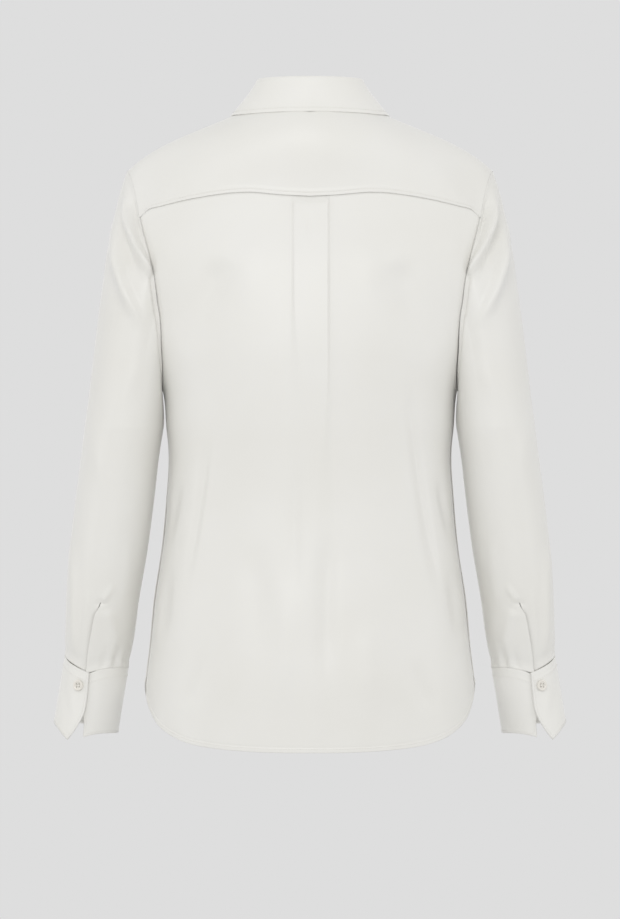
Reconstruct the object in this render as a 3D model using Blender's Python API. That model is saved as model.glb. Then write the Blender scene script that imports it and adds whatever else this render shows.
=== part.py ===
"""A silk blouse, filled out as if worn: +Z up, the wearer faces -Y, the wearer's left is +X.

The origin lies between the side neck points, where the shoulders carry the blouse. Tables and sizes are in
millimetres and are turned into metres when a mesh is made. Each cloth piece is a wall, CLOTH thick, behind a grid of
outer points, and each piece stops SEAM short of the line it is sewn along.
"""

import math

import bpy
import numpy as np
from mathutils import Vector
from mathutils.bvhtree import BVHTree

METRES = 0.001

# Cloth and gaps
CLOTH = 1.4
SEAM = 0.3
LAY_GAP = 0.4  # between a layer and the one that lies on it

# Body: half width, back depth and front depth at each height
BODY_RINGS = (
    # z, half, back, front
    (-70, 205, 66, 72),
    (-108, 205, 78, 86),
    (-150, 202, 92, 102),
    (-200, 183, 101, 115),
    (-250, 169, 105, 121),
    (-270, 162, 105, 121),
    (-284, 157.6, 104, 120),
    (-292, 155.5, 104, 119),
    (-330, 152.8, 101, 115),
    (-354, 150.5, 99, 112),
    (-407, 153, 97, 108),
    (-460, 158, 100, 107),
    (-513, 166, 105, 108),
    (-566, 171, 109, 109),
    (-598, 175, 111, 109),
    (-640, 177, 112, 109),
    (-680, 178, 112, 109),
)
BODY_ROUND = 2.3  # exponent of the oval rings
SIDE_HEM = -600  # the hem rises to here at the side seams
BACK_TAIL = 74  # and hangs this much lower at the centre back
FRONT_TAIL = 58
TAIL_CURVE = 3.1

# Yoke seam across the back, by distance from the centre
YOKE_SEAM = ((0, -85), (30, -83.4), (66, -80.6), (120, -86.6), (160, -95.6), (171, -98.6), (181, -107.6))

# Box pleat at the centre back
PLEAT_RIGHT, PLEAT_LEFT = -18, 20  # its two fold lines
PLEAT_PROUD = 2.4
PLEAT_STEP = 1.6  # width of the step at each fold
PLEAT_START = 8  # it stands proud from this far below the yoke seam
PLEAT_SOFT_FROM, PLEAT_SOFT_TO = -300, -560  # it opens out and fades between these heights

# Neckline ring and collar
NECK_HALF, NECK_DEPTH, NECK_Y = 64, 56, -6
NECK_BACK, NECK_SIDE, NECK_FRONT = 13, 12, -50
STAND_BACK, STAND_FRONT = 27.4, 26  # height of the stand
STAND_HALF, STAND_DEPTH = 54.5, 49  # its top ring
STAND_LAP = 0.22  # turn by which each end of the stand passes the centre front
LEAF_EDGE = (
    # turn, x, y, z of the fall's free edge, from the centre back to the collar point
    (0, 0, 61.5, 6.5),
    (30, 40, 53, 6.0),
    (60, 71, 30, 4.5),
    (85, 84.5, 4, 4.4),
    (110, 85.5, -26, 0.6),
    (122, 82, -43, -13.5),
    (135, 75.5, -58, -31),
    (155, 60, -79, -56),
    (176, 43, -95, -79),
)
FALL_END = 176
NECK_STEPS = (0, 14, 28, 42, 56, 70, 84, 98, 112, 126, 140, 154)  # turns of the collar's columns, in degrees
FALL_ROLL = ((-1.2, 2.5), (0.6, 2.7), (2.8, 1.0))  # out and up from the stand's top, over the fold
SHOULDER_SEAM_TURN = math.radians(112)  # where the front shoulder seam leaves the neckline

# Armhole
TIP = (195, -8, -57)  # top of the armhole, at the end of the shoulder
BACK_CORNER = (181, -107.6)  # x and z of the yoke seam's end
FRONT_CORNER = (187, -50, -82)
ARMHOLE_BACK = ((-107.6, 181), (-130, 175.5), (-150, 170), (-164, 166.5), (-200, 161.5))  # z, x
ARMHOLE_MID, UNDERARM = -200, -290
ARMHOLE_BACK_Z = (-107.6, -128, -150, -175, -200, -225, -250, -270, -284, -290)
ARMHOLE_FRONT_V = (0, 0.2, 0.4, 0.6, 0.8, 1)  # rows between the front corner and ARMHOLE_MID
ARMHOLE_FRONT_Z = (-225, -250, -270, -284, -290)
CROWN_BACK_STEPS, CROWN_FRONT_STEPS = 3, 2
YOKE_COLUMNS = (32, 8, 5)  # of the sheet the yoke is cut from: along half the seam, crown's back, crown's front
YOKE_ROWS = 16
YOKE_CORNER_TURN = 62  # turn on the neckline that faces the back corner

# Sleeve: horizontal rings below the underarm
SLEEVE_RINGS = (
    # z, inner x, outer x, centre y, half depth
    (-330, 155.9, 239.8, 0, 60),
    (-354, 159.7, 243, -1, 57),
    (-407, 166, 250, -5, 52),
    (-460, 173, 256, -9, 48),
    (-516, 182.5, 260, -14, 44),
    (-550, 187, 261, -18, 41),
    (-585, 193.3, 261.8, -22, 36),
    (-600, 194.5, 263.5, -24, 36),
)
SLEEVE_TOP = -330
SLIT_TOP = -516
SLIT_LINE = ((-516, 88), (-535, 82.5), (-552, 79.5), (-571, 77.5), (-592, 78))  # z, turn in degrees
SLIT_GAP = 1.8  # half of the slit's widest opening

# Cuff
CUFF_DEPTH = 70
CUFF_TOP = ((-314, -594), (-282, -591.5), (-270, -589), (-180, -585), (-90, -577), (0, -573), (78, -591))  # turn, z
CUFF_SHIFT = (11.5, -8)  # how far the lower edge lies outward and forward of the upper
CUFF_HALF, CUFF_HALF_DEPTH = 34.3, 36
FLAP_EDGE = ((0, 78), (0.25, 80), (0.55, 80), (0.8, 71), (1, 60))  # share of the depth, turn
UNDER_EDGE = ((0, 46), (0.5, 66), (0.65, 78), (1, 86))
FLAP_FLARE = 4.5
CUFF_BUTTON = (64, 0.24)  # turn and share of the depth

# Fronts
BUTTON_STAND = 14  # each front runs this far past the centre
LAP_LEVEL = 16  # the upper front stays lifted to here on its own side
LAP_FADE = 32  # and the lap is level with the rest of the front this far out
BUTTON_TURN_MM, BUTTON_THICK = 5.75, 2.2
FRONT_BUTTONS = 7
FIRST_BUTTON, BUTTON_PITCH = -90, 80
LAP_SHARE = 0.24  # share of a front's columns that lie where the fronts cross
FRONT_NECK_SHARE = 0.56  # share of a front's columns that end on the neckline; the rest end on the shoulder seam

SILK = ("ivory silk satin", (0.80, 0.79, 0.74, 1), 0.42)
PEARL = ("pearl button", (0.86, 0.84, 0.78, 1), 0.22)


def table(rows, at, column=1):
    """Value of a column at a place between rows, on a smooth curve through them."""
    x = np.array([row[0] for row in rows], float)
    y = np.array([row[column] for row in rows], float)
    if x[0] > x[-1]:
        x, y = x[::-1], y[::-1]
    at = np.clip(np.asarray(at, float), x[0], x[-1])
    slope = np.gradient(y, x)
    i = np.clip(np.searchsorted(x, at) - 1, 0, len(x) - 2)
    span = x[i + 1] - x[i]
    t = (at - x[i]) / span
    return (
        (2 * t**3 - 3 * t**2 + 1) * y[i]
        + (t**3 - 2 * t**2 + t) * span * slope[i]
        + (3 * t**2 - 2 * t**3) * y[i + 1]
        + (t**3 - t**2) * span * slope[i + 1]
    )


def ramp(at, start, end):
    t = np.clip((np.asarray(at, float) - start) / (end - start), 0, 1)
    return t * t * (3 - 2 * t)


def point(x, y, z):
    return np.array(np.broadcast_arrays(x, y, z), float).T


def unit(v):
    v = np.asarray(v, float)
    return v / np.linalg.norm(v, axis=-1, keepdims=True)


def bezier(p0, p1, p2, p3, t):
    t = np.asarray(t, float)[..., None]
    return (1 - t) ** 3 * p0 + 3 * t * (1 - t) ** 2 * p1 + 3 * t**2 * (1 - t) * p2 + t**3 * p3


# ---- body ----


def body_depth(turn, z):
    return np.where(np.cos(turn) >= 0, table(BODY_RINGS, z, 2), -table(BODY_RINGS, z, 3))


def body(turn, z):
    """Outer surface: turn 0 is the centre back, a quarter turn the left side, a half turn the centre front."""
    side = np.sin(turn)
    bulge = np.clip(1 - np.abs(side) ** BODY_ROUND, 0, 1) ** (1 / BODY_ROUND)
    return point(table(BODY_RINGS, z, 1) * side, body_depth(turn, z) * bulge, z)


def turn_for_x(x, z):
    return np.arcsin(np.clip(x / table(BODY_RINGS, z, 1), -1, 1))


def turn_for_depth(y, z, front):
    depth = table(BODY_RINGS, z, 3 if front else 2)
    side = np.clip(1 - (abs(y) / depth) ** BODY_ROUND, 0, 1) ** (1 / BODY_ROUND)
    return math.pi - math.asin(side) if front else math.asin(side)


def hem(turn):
    """Height of the hem, curved as a shirt tail."""
    from_side = np.abs(np.arcsin(np.sin(turn))) / (math.pi / 2)
    tail = np.where(np.cos(turn) >= 0, BACK_TAIL, FRONT_TAIL)
    return SIDE_HEM - tail * (1 - from_side**TAIL_CURVE)


def back_edge(z):
    """Turn of the back panel's edge: along the armhole, then the side seam."""
    if z <= UNDERARM:
        return math.pi / 2
    if z >= ARMHOLE_MID:
        return float(turn_for_x(table(ARMHOLE_BACK, z), z))
    widest = body(back_edge(ARMHOLE_MID), ARMHOLE_MID)[1]
    drop = (ARMHOLE_MID - z) / (ARMHOLE_MID - UNDERARM)
    return turn_for_depth(widest * math.sqrt(1 - drop**2), z, False)


def front_edge(z):
    if z <= UNDERARM:
        return math.pi / 2
    widest = body(math.pi - back_edge(ARMHOLE_MID), ARMHOLE_MID)[1]
    drop = (ARMHOLE_MID - z) / (ARMHOLE_MID - UNDERARM)
    return turn_for_depth(widest * math.sqrt(max(0, 1 - drop**2)), z, True)


def neckline(turn):
    """Where the collar stand is sewn on: turn 0 is the centre back."""
    front = np.cos(turn) < 0
    swing = np.abs(np.cos(turn)) ** np.where(front, 1.7, 2)
    z = NECK_SIDE + (np.where(front, NECK_FRONT, NECK_BACK) - NECK_SIDE) * swing
    return point(NECK_HALF * np.sin(turn), NECK_Y + NECK_DEPTH * np.cos(turn), z)


def crown(t, front):
    """Top of the armhole, from its tip (0) to the corner (1) where the yoke ends."""
    tip = np.array(TIP, float)
    end = np.array(FRONT_CORNER, float) if front else body(back_edge(BACK_CORNER[1]), BACK_CORNER[1])
    t = np.asarray(t, float)
    share = np.stack([t**1.5, t, t**2.6], axis=-1)  # nearly level at the tip, steep at the corner
    return tip + (end - tip) * share


# ---- front panel ----


def centre_x(u):
    """Distance past the centre of the left front's first columns, up to where the lap has faded."""
    return -BUTTON_STAND + (BUTTON_STAND + LAP_FADE) * u / LAP_SHARE


def shoulder_seam(t):
    """Front edge of the yoke, from the neckline to the armhole, where it meets a front panel."""
    inner, outer = neckline(SHOULDER_SEAM_TURN), np.array(FRONT_CORNER, float)
    reach = np.linalg.norm(outer - inner)
    leave, arrive = unit((0.93, -0.42, -0.52)), unit((-0.72, -0.1, 0.68))
    return bezier(inner, inner + leave * reach * 0.38, outer + arrive * reach * 0.2, outer, t)


def front_top_edge(u):
    """Top of the left front: u 0 at its edge past the centre, along the neckline, then the shoulder seam to 1."""
    near = math.pi - np.arcsin(centre_x(np.minimum(u, LAP_SHARE)) / NECK_HALF)
    turned = math.pi - math.asin(LAP_FADE / NECK_HALF)
    past = np.clip((u - LAP_SHARE) / (FRONT_NECK_SHARE - LAP_SHARE), 0, 1)
    around = neckline(near + (SHOULDER_SEAM_TURN - turned) * past)
    seam = shoulder_seam(np.clip((u - FRONT_NECK_SHARE) / (1 - FRONT_NECK_SHARE), 0, 1))
    return np.where((u < FRONT_NECK_SHARE)[..., None], around, seam)


def front_turn(u, z):
    """Turn of the left front's column u at a height below ARMHOLE_MID."""
    near = math.pi - turn_for_x(centre_x(np.minimum(u, LAP_SHARE)), z)
    turned = math.pi - turn_for_x(LAP_FADE, z)
    return near + (front_edge(float(z)) - turned) * np.clip((u - LAP_SHARE) / (1 - LAP_SHARE), 0, 1)


def front_upper(u, v):
    """Upper part of the left front, from its top edge (v 0) down to ARMHOLE_MID (v 1)."""
    top = front_top_edge(u)
    low = body(front_turn(u, ARMHOLE_MID), ARMHOLE_MID)
    below = body(front_turn(u, ARMHOLE_MID), ARMHOLE_MID - 10)
    leave = unit(point(-0.3 * u**3, -0.75 + 0.3 * u**2, -0.65 - 0.2 * u**2))
    arrive = unit(low - below)
    reach = np.linalg.norm(low - top, axis=-1, keepdims=True) * 0.36
    return bezier(top, top + leave * reach, low + arrive * reach, low, v)


def front_columns(outer):
    near = [(BUTTON_STAND + x) / (BUTTON_STAND + LAP_FADE) * LAP_SHARE for x in (-BUTTON_STAND, 0, LAP_LEVEL)]
    return np.concatenate([near, np.linspace(LAP_SHARE, 1, outer)])


def front_grid(u, lower_rows):
    rows = [front_upper(u, np.full(u.shape, v)) for v in ARMHOLE_FRONT_V]
    for z in ARMHOLE_FRONT_Z:
        rows.append(body(front_turn(u, z), z))
    for share in np.linspace(0, 1, lower_rows + 1)[1:]:
        turn = front_turn(u, UNDERARM)
        rows.append(body(turn, UNDERARM + (hem(turn) - UNDERARM) * share))
    return np.array(rows)


def lap(grid):
    """Lift the upper front off the one beneath it where they cross at the centre."""
    lift = (CLOTH + LAY_GAP) * (1 - ramp(grid[..., 0], LAP_LEVEL + 0.5, LAP_FADE))
    return grid + normals(grid) * lift[..., None]


# ---- back panel and yoke ----


def back_columns():
    """Distances from the centre of the back's columns at the yoke seam."""
    pleat = (PLEAT_RIGHT - PLEAT_STEP, PLEAT_RIGHT, 1, PLEAT_LEFT, PLEAT_LEFT + PLEAT_STEP)
    side = (34, 56, 80, 104, 126, 146, 160, 171, 181)
    return np.array([-x for x in reversed(side)] + list(pleat) + list(side), float)


def seam_height(x):
    return table(YOKE_SEAM, np.abs(x))


def pleat_lift(x, z):
    """How far the box pleat's strip stands out."""
    step = ramp(x, PLEAT_RIGHT - PLEAT_STEP, PLEAT_RIGHT) * (1 - ramp(x, PLEAT_LEFT, PLEAT_LEFT + PLEAT_STEP))
    opened = 1 - 0.75 * ramp(-z, -PLEAT_SOFT_FROM, -PLEAT_SOFT_TO)
    below = seam_height(x) - z
    return PLEAT_PROUD * step * opened * ramp(below, 0, PLEAT_START)


def back_point(x, edge_z, share):
    """Outer point of the back: x at the yoke seam, the edge's height and how far down the column it lies."""
    spread = turn_for_x(x, BACK_CORNER[1]) * back_edge(edge_z) / back_edge(BACK_CORNER[1])
    above, below = (seam_height(x), UNDERARM) if edge_z > UNDERARM else (UNDERARM, hem(spread))
    z = above + (below - above) * share
    upright = turn_for_x(x, z)
    turn = upright + (spread - upright) * ramp(np.abs(x), 30, 110)
    place = body(turn, z)
    place[..., 1] += pleat_lift(place[..., 0], z)
    return place


def back_grid(lower_rows):
    x = back_columns()
    first = ARMHOLE_BACK_Z[0]
    rows = [back_point(x, z, (first - z) / (first - UNDERARM)) for z in ARMHOLE_BACK_Z[:-1]]
    rows += [back_point(x, UNDERARM, share) for share in np.linspace(0, 1, lower_rows + 1)]
    rows[0] = back_seam(x)
    return np.array(rows)[:, ::-1]


def back_seam(x):
    """The yoke seam, on the back's surface."""
    z = seam_height(x)
    turn = turn_for_x(x, BACK_CORNER[1])
    upright = turn_for_x(x, z)
    return body(upright + (turn - upright) * ramp(np.abs(x), 30, 110), z)


def relaxed(grid, held):
    """The smoothest sheet through the held points, found the way a thin sheet bends."""
    rows, columns = grid.shape[:2]
    inner = np.arange(rows * columns).reshape(rows, columns)[1:-1, 1:-1].ravel()
    bend = np.zeros((len(inner), rows * columns))
    each = np.arange(len(inner))
    bend[each, inner] = 4
    for step in (-1, 1, -columns, columns):
        bend[each, inner + step] = -1
    free = ~held.ravel()
    places = grid.reshape(-1, 3).copy()
    loose, tied = bend[:, free], bend[:, ~free]
    places[free] = np.linalg.solve(loose.T @ loose, -loose.T @ (tied @ places[~free]))
    return places.reshape(rows, columns, 3)


def yoke_sheet():
    """The yoke's left half: columns fan out from the neckline, from the centre back over the shoulder to the front."""
    at_corner, at_tip = YOKE_COLUMNS[0], YOKE_COLUMNS[0] + YOKE_COLUMNS[1]
    crown_back = crown(np.linspace(1, 0, YOKE_COLUMNS[1] + 1)[1:], False)
    crown_front = crown(np.linspace(0, 1, YOKE_COLUMNS[2] + 1)[1:], True)
    outer = np.concatenate([back_seam(np.linspace(0, BACK_CORNER[0], at_corner + 1)), crown_back, crown_front])
    place = np.arange(len(outer))
    turn = yoke_turn(place)
    inner = neckline(turn)
    leave = unit(point(np.sin(turn), 0.86 * np.cos(turn), -0.6 + 0 * turn))
    bends = [0, at_corner * 0.6, at_corner, at_tip]  # the directions the columns arrive in change over these
    arrive = [np.interp(place, bends, rise) for rise in ((0, 0, -0.3, -0.72), (-0.08, -0.08, 0.02, 0), (1, 1, 0.95, 0.69))]
    reach = np.linalg.norm(outer - inner, axis=1)[:, None]
    p1, p2 = inner + leave * reach * 0.38, outer + unit(np.stack(arrive, axis=-1)) * reach * 0.3
    shares = np.linspace(0, 1, YOKE_ROWS + 1)
    half = np.array([bezier(inner, p1, p2, outer, np.full(len(outer), t)) for t in shares])
    half[:, -1] = shoulder_seam(shares)
    whole = np.concatenate([half[:, :0:-1] * (-1, 1, 1), half], axis=1)
    middle = len(place) - 1
    held = np.zeros(whole.shape[:2], bool)
    held[[0, 1, -1]] = True
    held[:, [0, middle - at_tip, middle + at_tip, -1]] = True  # the shoulder seams and the lines of the shoulders
    held[-2] = np.abs(np.abs(np.arange(2 * middle + 1) - middle) - at_corner) > 3
    return relaxed(whole, held)[:, middle:]


def yoke_turn(place):
    """Turn on the neckline of a column of the yoke's sheet."""
    steps = np.cumsum((0,) + YOKE_COLUMNS)
    return np.interp(place, steps, [0, math.radians(YOKE_CORNER_TURN), math.pi / 2, SHOULDER_SEAM_TURN])


def yoke_grid(rows):
    """The yoke's sheet, with a column at each of the back's columns and at each step of the crown."""
    seam_x = back_columns()
    seam_x = seam_x[seam_x >= 0]
    crown_back = crown(np.linspace(1, 0, CROWN_BACK_STEPS + 1)[1:], False)
    crown_front = crown(np.linspace(0, 1, CROWN_FRONT_STEPS + 1)[1:], True)
    steps = np.cumsum(YOKE_COLUMNS)
    place = np.concatenate(
        [
            seam_x / BACK_CORNER[0] * steps[0],
            np.linspace(steps[0], steps[1], CROWN_BACK_STEPS + 1)[1:],
            np.linspace(steps[1], steps[2], CROWN_FRONT_STEPS + 1)[1:],
        ]
    )
    sheet = yoke_sheet()
    first = np.clip(place.astype(int), 0, steps[2] - 1)
    share = (place - first)[:, None]
    columns = sheet[:, first] * (1 - share) + sheet[:, first + 1] * share
    down = np.linspace(0, YOKE_ROWS, rows + 1)
    above = np.clip(down.astype(int), 0, YOKE_ROWS - 1)
    share = (down - above)[:, None, None]
    half = columns[above] * (1 - share) + columns[above + 1] * share
    half[0] = neckline(yoke_turn(place))
    half[-1] = np.concatenate([back_seam(seam_x), crown_back, crown_front])
    half[:, -1] = shoulder_seam(np.linspace(0, 1, rows + 1))
    return np.concatenate([half[:, :0:-1] * (-1, 1, 1), half], axis=1)[:, ::-1]


# ---- sleeve ----


def armhole():
    """The left armhole, once round: from the tip down the back, under the arm and up the front."""
    back_crown = crown(np.linspace(0, 1, CROWN_BACK_STEPS + 1)[:-1], False)
    down = np.array([body(back_edge(z), z) for z in ARMHOLE_BACK_Z])
    up = np.array([body(front_edge(z), z) for z in ARMHOLE_FRONT_Z[-2::-1]])
    front = np.array([front_upper(np.array([1.0]), np.array([v]))[0] for v in ARMHOLE_FRONT_V[::-1]])
    front_crown = crown(np.linspace(1, 0, CROWN_FRONT_STEPS + 1)[1:-1], True)
    return np.concatenate([back_crown, down, up, front, front_crown])


def sleeve_turns(ring):
    """Turn round the sleeve of each armhole point, in proportion to its way round: 0 outer, a quarter back."""
    step = np.linalg.norm(np.diff(ring, axis=0, append=ring[:1]), axis=1)
    way = np.concatenate([[0], np.cumsum(step)[:-1]])
    under = CROWN_BACK_STEPS + len(ARMHOLE_BACK_Z) - 1
    full = step.sum()
    return np.interp(way, [0, way[under], full], [0, math.pi, 2 * math.pi])


def sleeve_point(turn, z):
    inner, outer = table(SLEEVE_RINGS, z, 1), table(SLEEVE_RINGS, z, 2)
    middle, depth = table(SLEEVE_RINGS, z, 3), table(SLEEVE_RINGS, z, 4)
    return point(
        (inner + outer) / 2 + (outer - inner) / 2 * np.cos(turn), middle + depth * np.sin(turn), z
    )


def slit_turns(turns, slit, z):
    """Turns with the slit's column moved onto the slit line."""
    line = math.radians(float(table(SLIT_LINE, z)))
    if z > SLIT_TOP:
        settle = ramp(z, SLIT_TOP, SLEEVE_TOP)
        line = line + (turns[slit] - line) * settle
    return np.interp(turns, [0, turns[slit], math.pi, 2 * math.pi], [0, line, math.pi, 2 * math.pi])


def sleeve_hem(turn):
    """Height of the sleeve's lower edge, which follows the top of the cuff."""
    degrees = np.degrees(turn)
    degrees = np.where(degrees > SLIT_LINE[-1][1], degrees - 360, degrees)
    return table(CUFF_TOP, degrees) + 3 * SEAM


def sleeve_grid(facing, upper_rows, lower_z, slit_rows):
    """Rows run from the armhole to the cuff, and columns round from the slit's line to itself."""
    ring = armhole()
    turns = sleeve_turns(ring)
    slit = int(np.argmin(np.abs(np.degrees(turns) - SLIT_LINE[0][1])))
    settled = slit_turns(turns, slit, SLEEVE_TOP)
    low = sleeve_point(settled, SLEEVE_TOP)
    length = np.linalg.norm(low - ring, axis=1)[:, None]
    leave = unit(
        point(0.2 + 0.16 * np.cos(turns) + 0.2 * np.abs(np.sin(turns)), 0.3 * np.sin(turns), np.full(turns.shape, -0.9))
    )
    start = ring + leave * 2 * SEAM + facing * 3 * SEAM
    arrive = np.array([-0.13, 0, 0.99])
    rows = [
        bezier(start, start + leave * length * 0.22, low + arrive * length * 0.33, low, np.full(len(ring), t))
        for t in np.linspace(0, 1, upper_rows + 1)
    ]
    rows += [sleeve_point(slit_turns(turns, slit, z), z) for z in lower_z]
    order = np.arange(slit, slit + len(ring) + 1) % len(ring)  # columns start and end on the slit
    rows = [row[order] for row in rows]
    for share in np.linspace(0, 1, slit_rows + 1)[1:]:
        bottom = sleeve_hem(slit_turns(turns, slit, SLIT_LINE[-1][0]))[order]
        bottom[0], bottom[-1] = table(CUFF_TOP, -282) + 3 * SEAM, table(CUFF_TOP, 78) + 3 * SEAM
        z = SLIT_TOP + (bottom - SLIT_TOP) * share
        place = sleeve_point(slit_turns(turns, slit, float(z[0]))[order], z)
        open_by = SLIT_GAP * math.sin(math.pi * (0.12 + 0.76 * share)) ** 0.7
        place[0, 0] -= open_by
        place[-1, 0] += open_by
        rows.append(place)
    return np.array(rows), upper_rows + len(lower_z) + 1, order


# ---- cuff ----


def cuff_point(turn, share):
    """Outer surface of the cuff: turn in degrees from the flap's edge (about 78) on round to the under end."""
    flap = 1 - ramp(-turn, -float(table(UNDER_EDGE, share)) + 4, -float(table(UNDER_EDGE, share)) + 34)
    spring = FLAP_FLARE * ramp(share, 0.35, 1) * ramp(turn, 0, 70)
    grow = (CLOTH + 2 * LAY_GAP) * flap + spring
    angle = np.radians(turn)
    middle = (SLEEVE_RINGS[-2][1] + SLEEVE_RINGS[-2][2]) / 2
    return point(
        middle + CUFF_SHIFT[0] * share + (CUFF_HALF + grow) * np.cos(angle),
        SLEEVE_RINGS[-2][3] + CUFF_SHIFT[1] * share + (CUFF_HALF_DEPTH + grow) * np.sin(angle),
        table(CUFF_TOP, turn) - CUFF_DEPTH * share,
    )


def cuff_grid(columns, rows):
    grid = []
    for share in np.linspace(0, 1, rows + 1):
        flap, under = float(table(FLAP_EDGE, share)), float(table(UNDER_EDGE, share)) - 360
        grid.append(cuff_point(np.linspace(under, flap, columns + 1), share))
    return np.array(grid)


# ---- collar ----


def stand_top(turn):
    rise = STAND_FRONT + (STAND_BACK - STAND_FRONT) * (1 + np.cos(turn)) / 2
    return point(
        STAND_HALF * np.sin(turn), NECK_Y + STAND_DEPTH * np.cos(turn), neckline(turn)[..., 2] + rise
    )


def collar_lift(turn, both_ends):
    """The stand's right end, and both ends of the fall, stand off what they cross at the centre front."""
    to_end = math.pi - (np.abs(turn) if both_ends else -turn)
    return (CLOTH + LAY_GAP) * (1 - ramp(to_end, STAND_LAP + 0.01, 2 * STAND_LAP))


def neck_away(turn):
    return unit(point(np.sin(turn), np.cos(turn), 0 * turn))


def neck_turns(end):
    half = np.concatenate([NECK_STEPS, [math.degrees(math.pi - STAND_LAP)], end])
    return np.radians(np.concatenate([half[::-1], -half[1:]]))


def stand_grid(rows):
    """One band once round the neck, its right end lapped over its left at the centre front."""
    turn = neck_turns([180, math.degrees(math.pi + STAND_LAP)])
    lift = collar_lift(turn, False)[:, None]
    low, high = neckline(turn) + (0, 0, 3 * SEAM) + lift * (0, 0, 0.8), stand_top(turn)
    grid = np.array([high + (low - high) * t for t in np.linspace(0, 1, rows + 1)])
    return grid + neck_away(turn) * lift


def fall_grid(rows, below):
    """The fall, from just inside the top of the stand, over it and down to its free edge, clear of what lies below."""
    turn = neck_turns([FALL_END])
    away, up = neck_away(turn), np.array([0.0, 0.0, 1.0])
    lift = away * collar_lift(turn, True)[:, None]
    edge = [table(LEAF_EDGE, abs(np.degrees(turn)), column) for column in (1, 2, 3)]
    edge = point(np.sign(turn) * edge[0], edge[1], edge[2])
    top = stand_top(turn) + lift
    grid = [top + away * out + up * high for out, high in FALL_ROLL]
    start = grid[-1]
    reach = np.linalg.norm(edge - start, axis=1)[:, None]
    p1 = start + unit(away * 0.35 - up) * reach * 0.3
    p2 = edge + unit(-away * 0.75 + up) * reach * 0.25
    grid += [bezier(start, p1, p2, edge, np.full(len(turn), t)) for t in np.linspace(0, 1, rows + 1)[1:]]
    return rest_on(np.array(grid), below, CLOTH + 3 * LAY_GAP)


def rest_on(grid, below, clearance):
    """Lift the points of a grid that lie too near the outer side of the objects below it."""
    dependency_graph = bpy.context.evaluated_depsgraph_get()
    for obj in below:
        tree = BVHTree.FromObject(obj, dependency_graph)
        for index in np.ndindex(grid.shape[:2]):
            near, facing, _, _ = tree.find_nearest(Vector(grid[index]) * METRES)
            near, facing = np.array(near) / METRES, np.array(facing)
            height = (grid[index] - near) @ facing
            if -2 * clearance < height < clearance and abs(near - grid[index]).max() < 4 * clearance:
                grid[index] = grid[index] + facing * (clearance - height)
    return grid


# ---- meshes ----


def normals(grid):
    """Unit normals of a grid of points whose rows run down and whose columns run round towards a smaller turn."""
    along = np.gradient(grid, axis=1)
    down = np.gradient(grid, axis=0)
    return unit(np.cross(down, along))


def material(name, colour, roughness):
    mat = bpy.data.materials.get(name) or bpy.data.materials.new(name)
    mat.use_nodes = True
    mat.diffuse_color = colour
    shader = mat.node_tree.nodes["Principled BSDF"]
    shader.inputs["Base Color"].default_value = colour
    shader.inputs["Roughness"].default_value = roughness
    shader.inputs["Metallic"].default_value = 0
    return mat


def add_object(name, vertices, faces, finish):
    mesh = bpy.data.meshes.new(name)
    mesh.from_pydata([tuple(v) for v in np.asarray(vertices) * METRES], [], faces)
    mesh.materials.append(material(*finish))
    mesh.shade_smooth()
    mesh.set_sharp_from_angle(angle=math.radians(40))
    mesh.update()
    obj = bpy.data.objects.new(name, mesh)
    bpy.context.collection.objects.link(obj)
    return obj


def draw_back(grid, edges):
    """Move the named edges of a grid SEAM inward, along the cloth."""
    grid = grid.copy()
    for edge in edges:
        line, beside = {
            "top": (np.s_[0, :], np.s_[1, :]),
            "bottom": (np.s_[-1, :], np.s_[-2, :]),
            "first": (np.s_[:, 0], np.s_[:, 1]),
            "last": (np.s_[:, -1], np.s_[:, -2]),
        }[edge]
        grid[line] += unit(grid[beside] - grid[line]) * SEAM
    return grid


def wall(name, grid, joined_rows=0, rim_normals=None, mirror=False):
    """A closed wall behind a grid of outer points. The first and last column are one for joined_rows rows."""
    row_count, column_count = grid.shape[:2]
    index = np.arange(row_count * column_count).reshape(row_count, column_count)
    index[:joined_rows, -1] = index[:joined_rows, 0]
    quads = [
        (index[r, c], index[r + 1, c], index[r + 1, c + 1], index[r, c + 1])
        for r in range(row_count - 1)
        for c in range(column_count - 1)
    ]
    outer = grid.reshape(-1, 3)
    out = np.zeros_like(outer)
    for a, b, c, d in quads:
        area = np.cross(outer[c] - outer[a], outer[d] - outer[b])
        for corner in (a, b, c, d):
            out[corner] += area
    out /= np.maximum(np.linalg.norm(out, axis=1, keepdims=True), 1e-9)
    if rim_normals is not None:
        out[: column_count - 1] = rim_normals[:-1]
    used = sorted({i for quad in quads for i in quad})
    place = {old: new for new, old in enumerate(used)}
    quads = [tuple(place[i] for i in quad) for quad in quads]
    outer, out = outer[used], out[used]
    inner = outer - out * CLOTH
    count = len(outer)
    edges = {}
    for quad in quads:
        for a, b in zip(quad, quad[1:] + quad[:1]):
            edges[(a, b)] = edges.get((a, b), 0) + 1
    rims = [(b, a, a + count, b + count) for a, b in edges if (b, a) not in edges]
    faces = quads + [tuple(i + count for i in reversed(quad)) for quad in quads] + rims
    vertices = np.concatenate([outer, inner])
    if mirror:
        vertices = vertices * (-1, 1, 1)
        faces = [tuple(reversed(face)) for face in faces]
    return add_object(name, vertices, faces, SILK)


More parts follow.
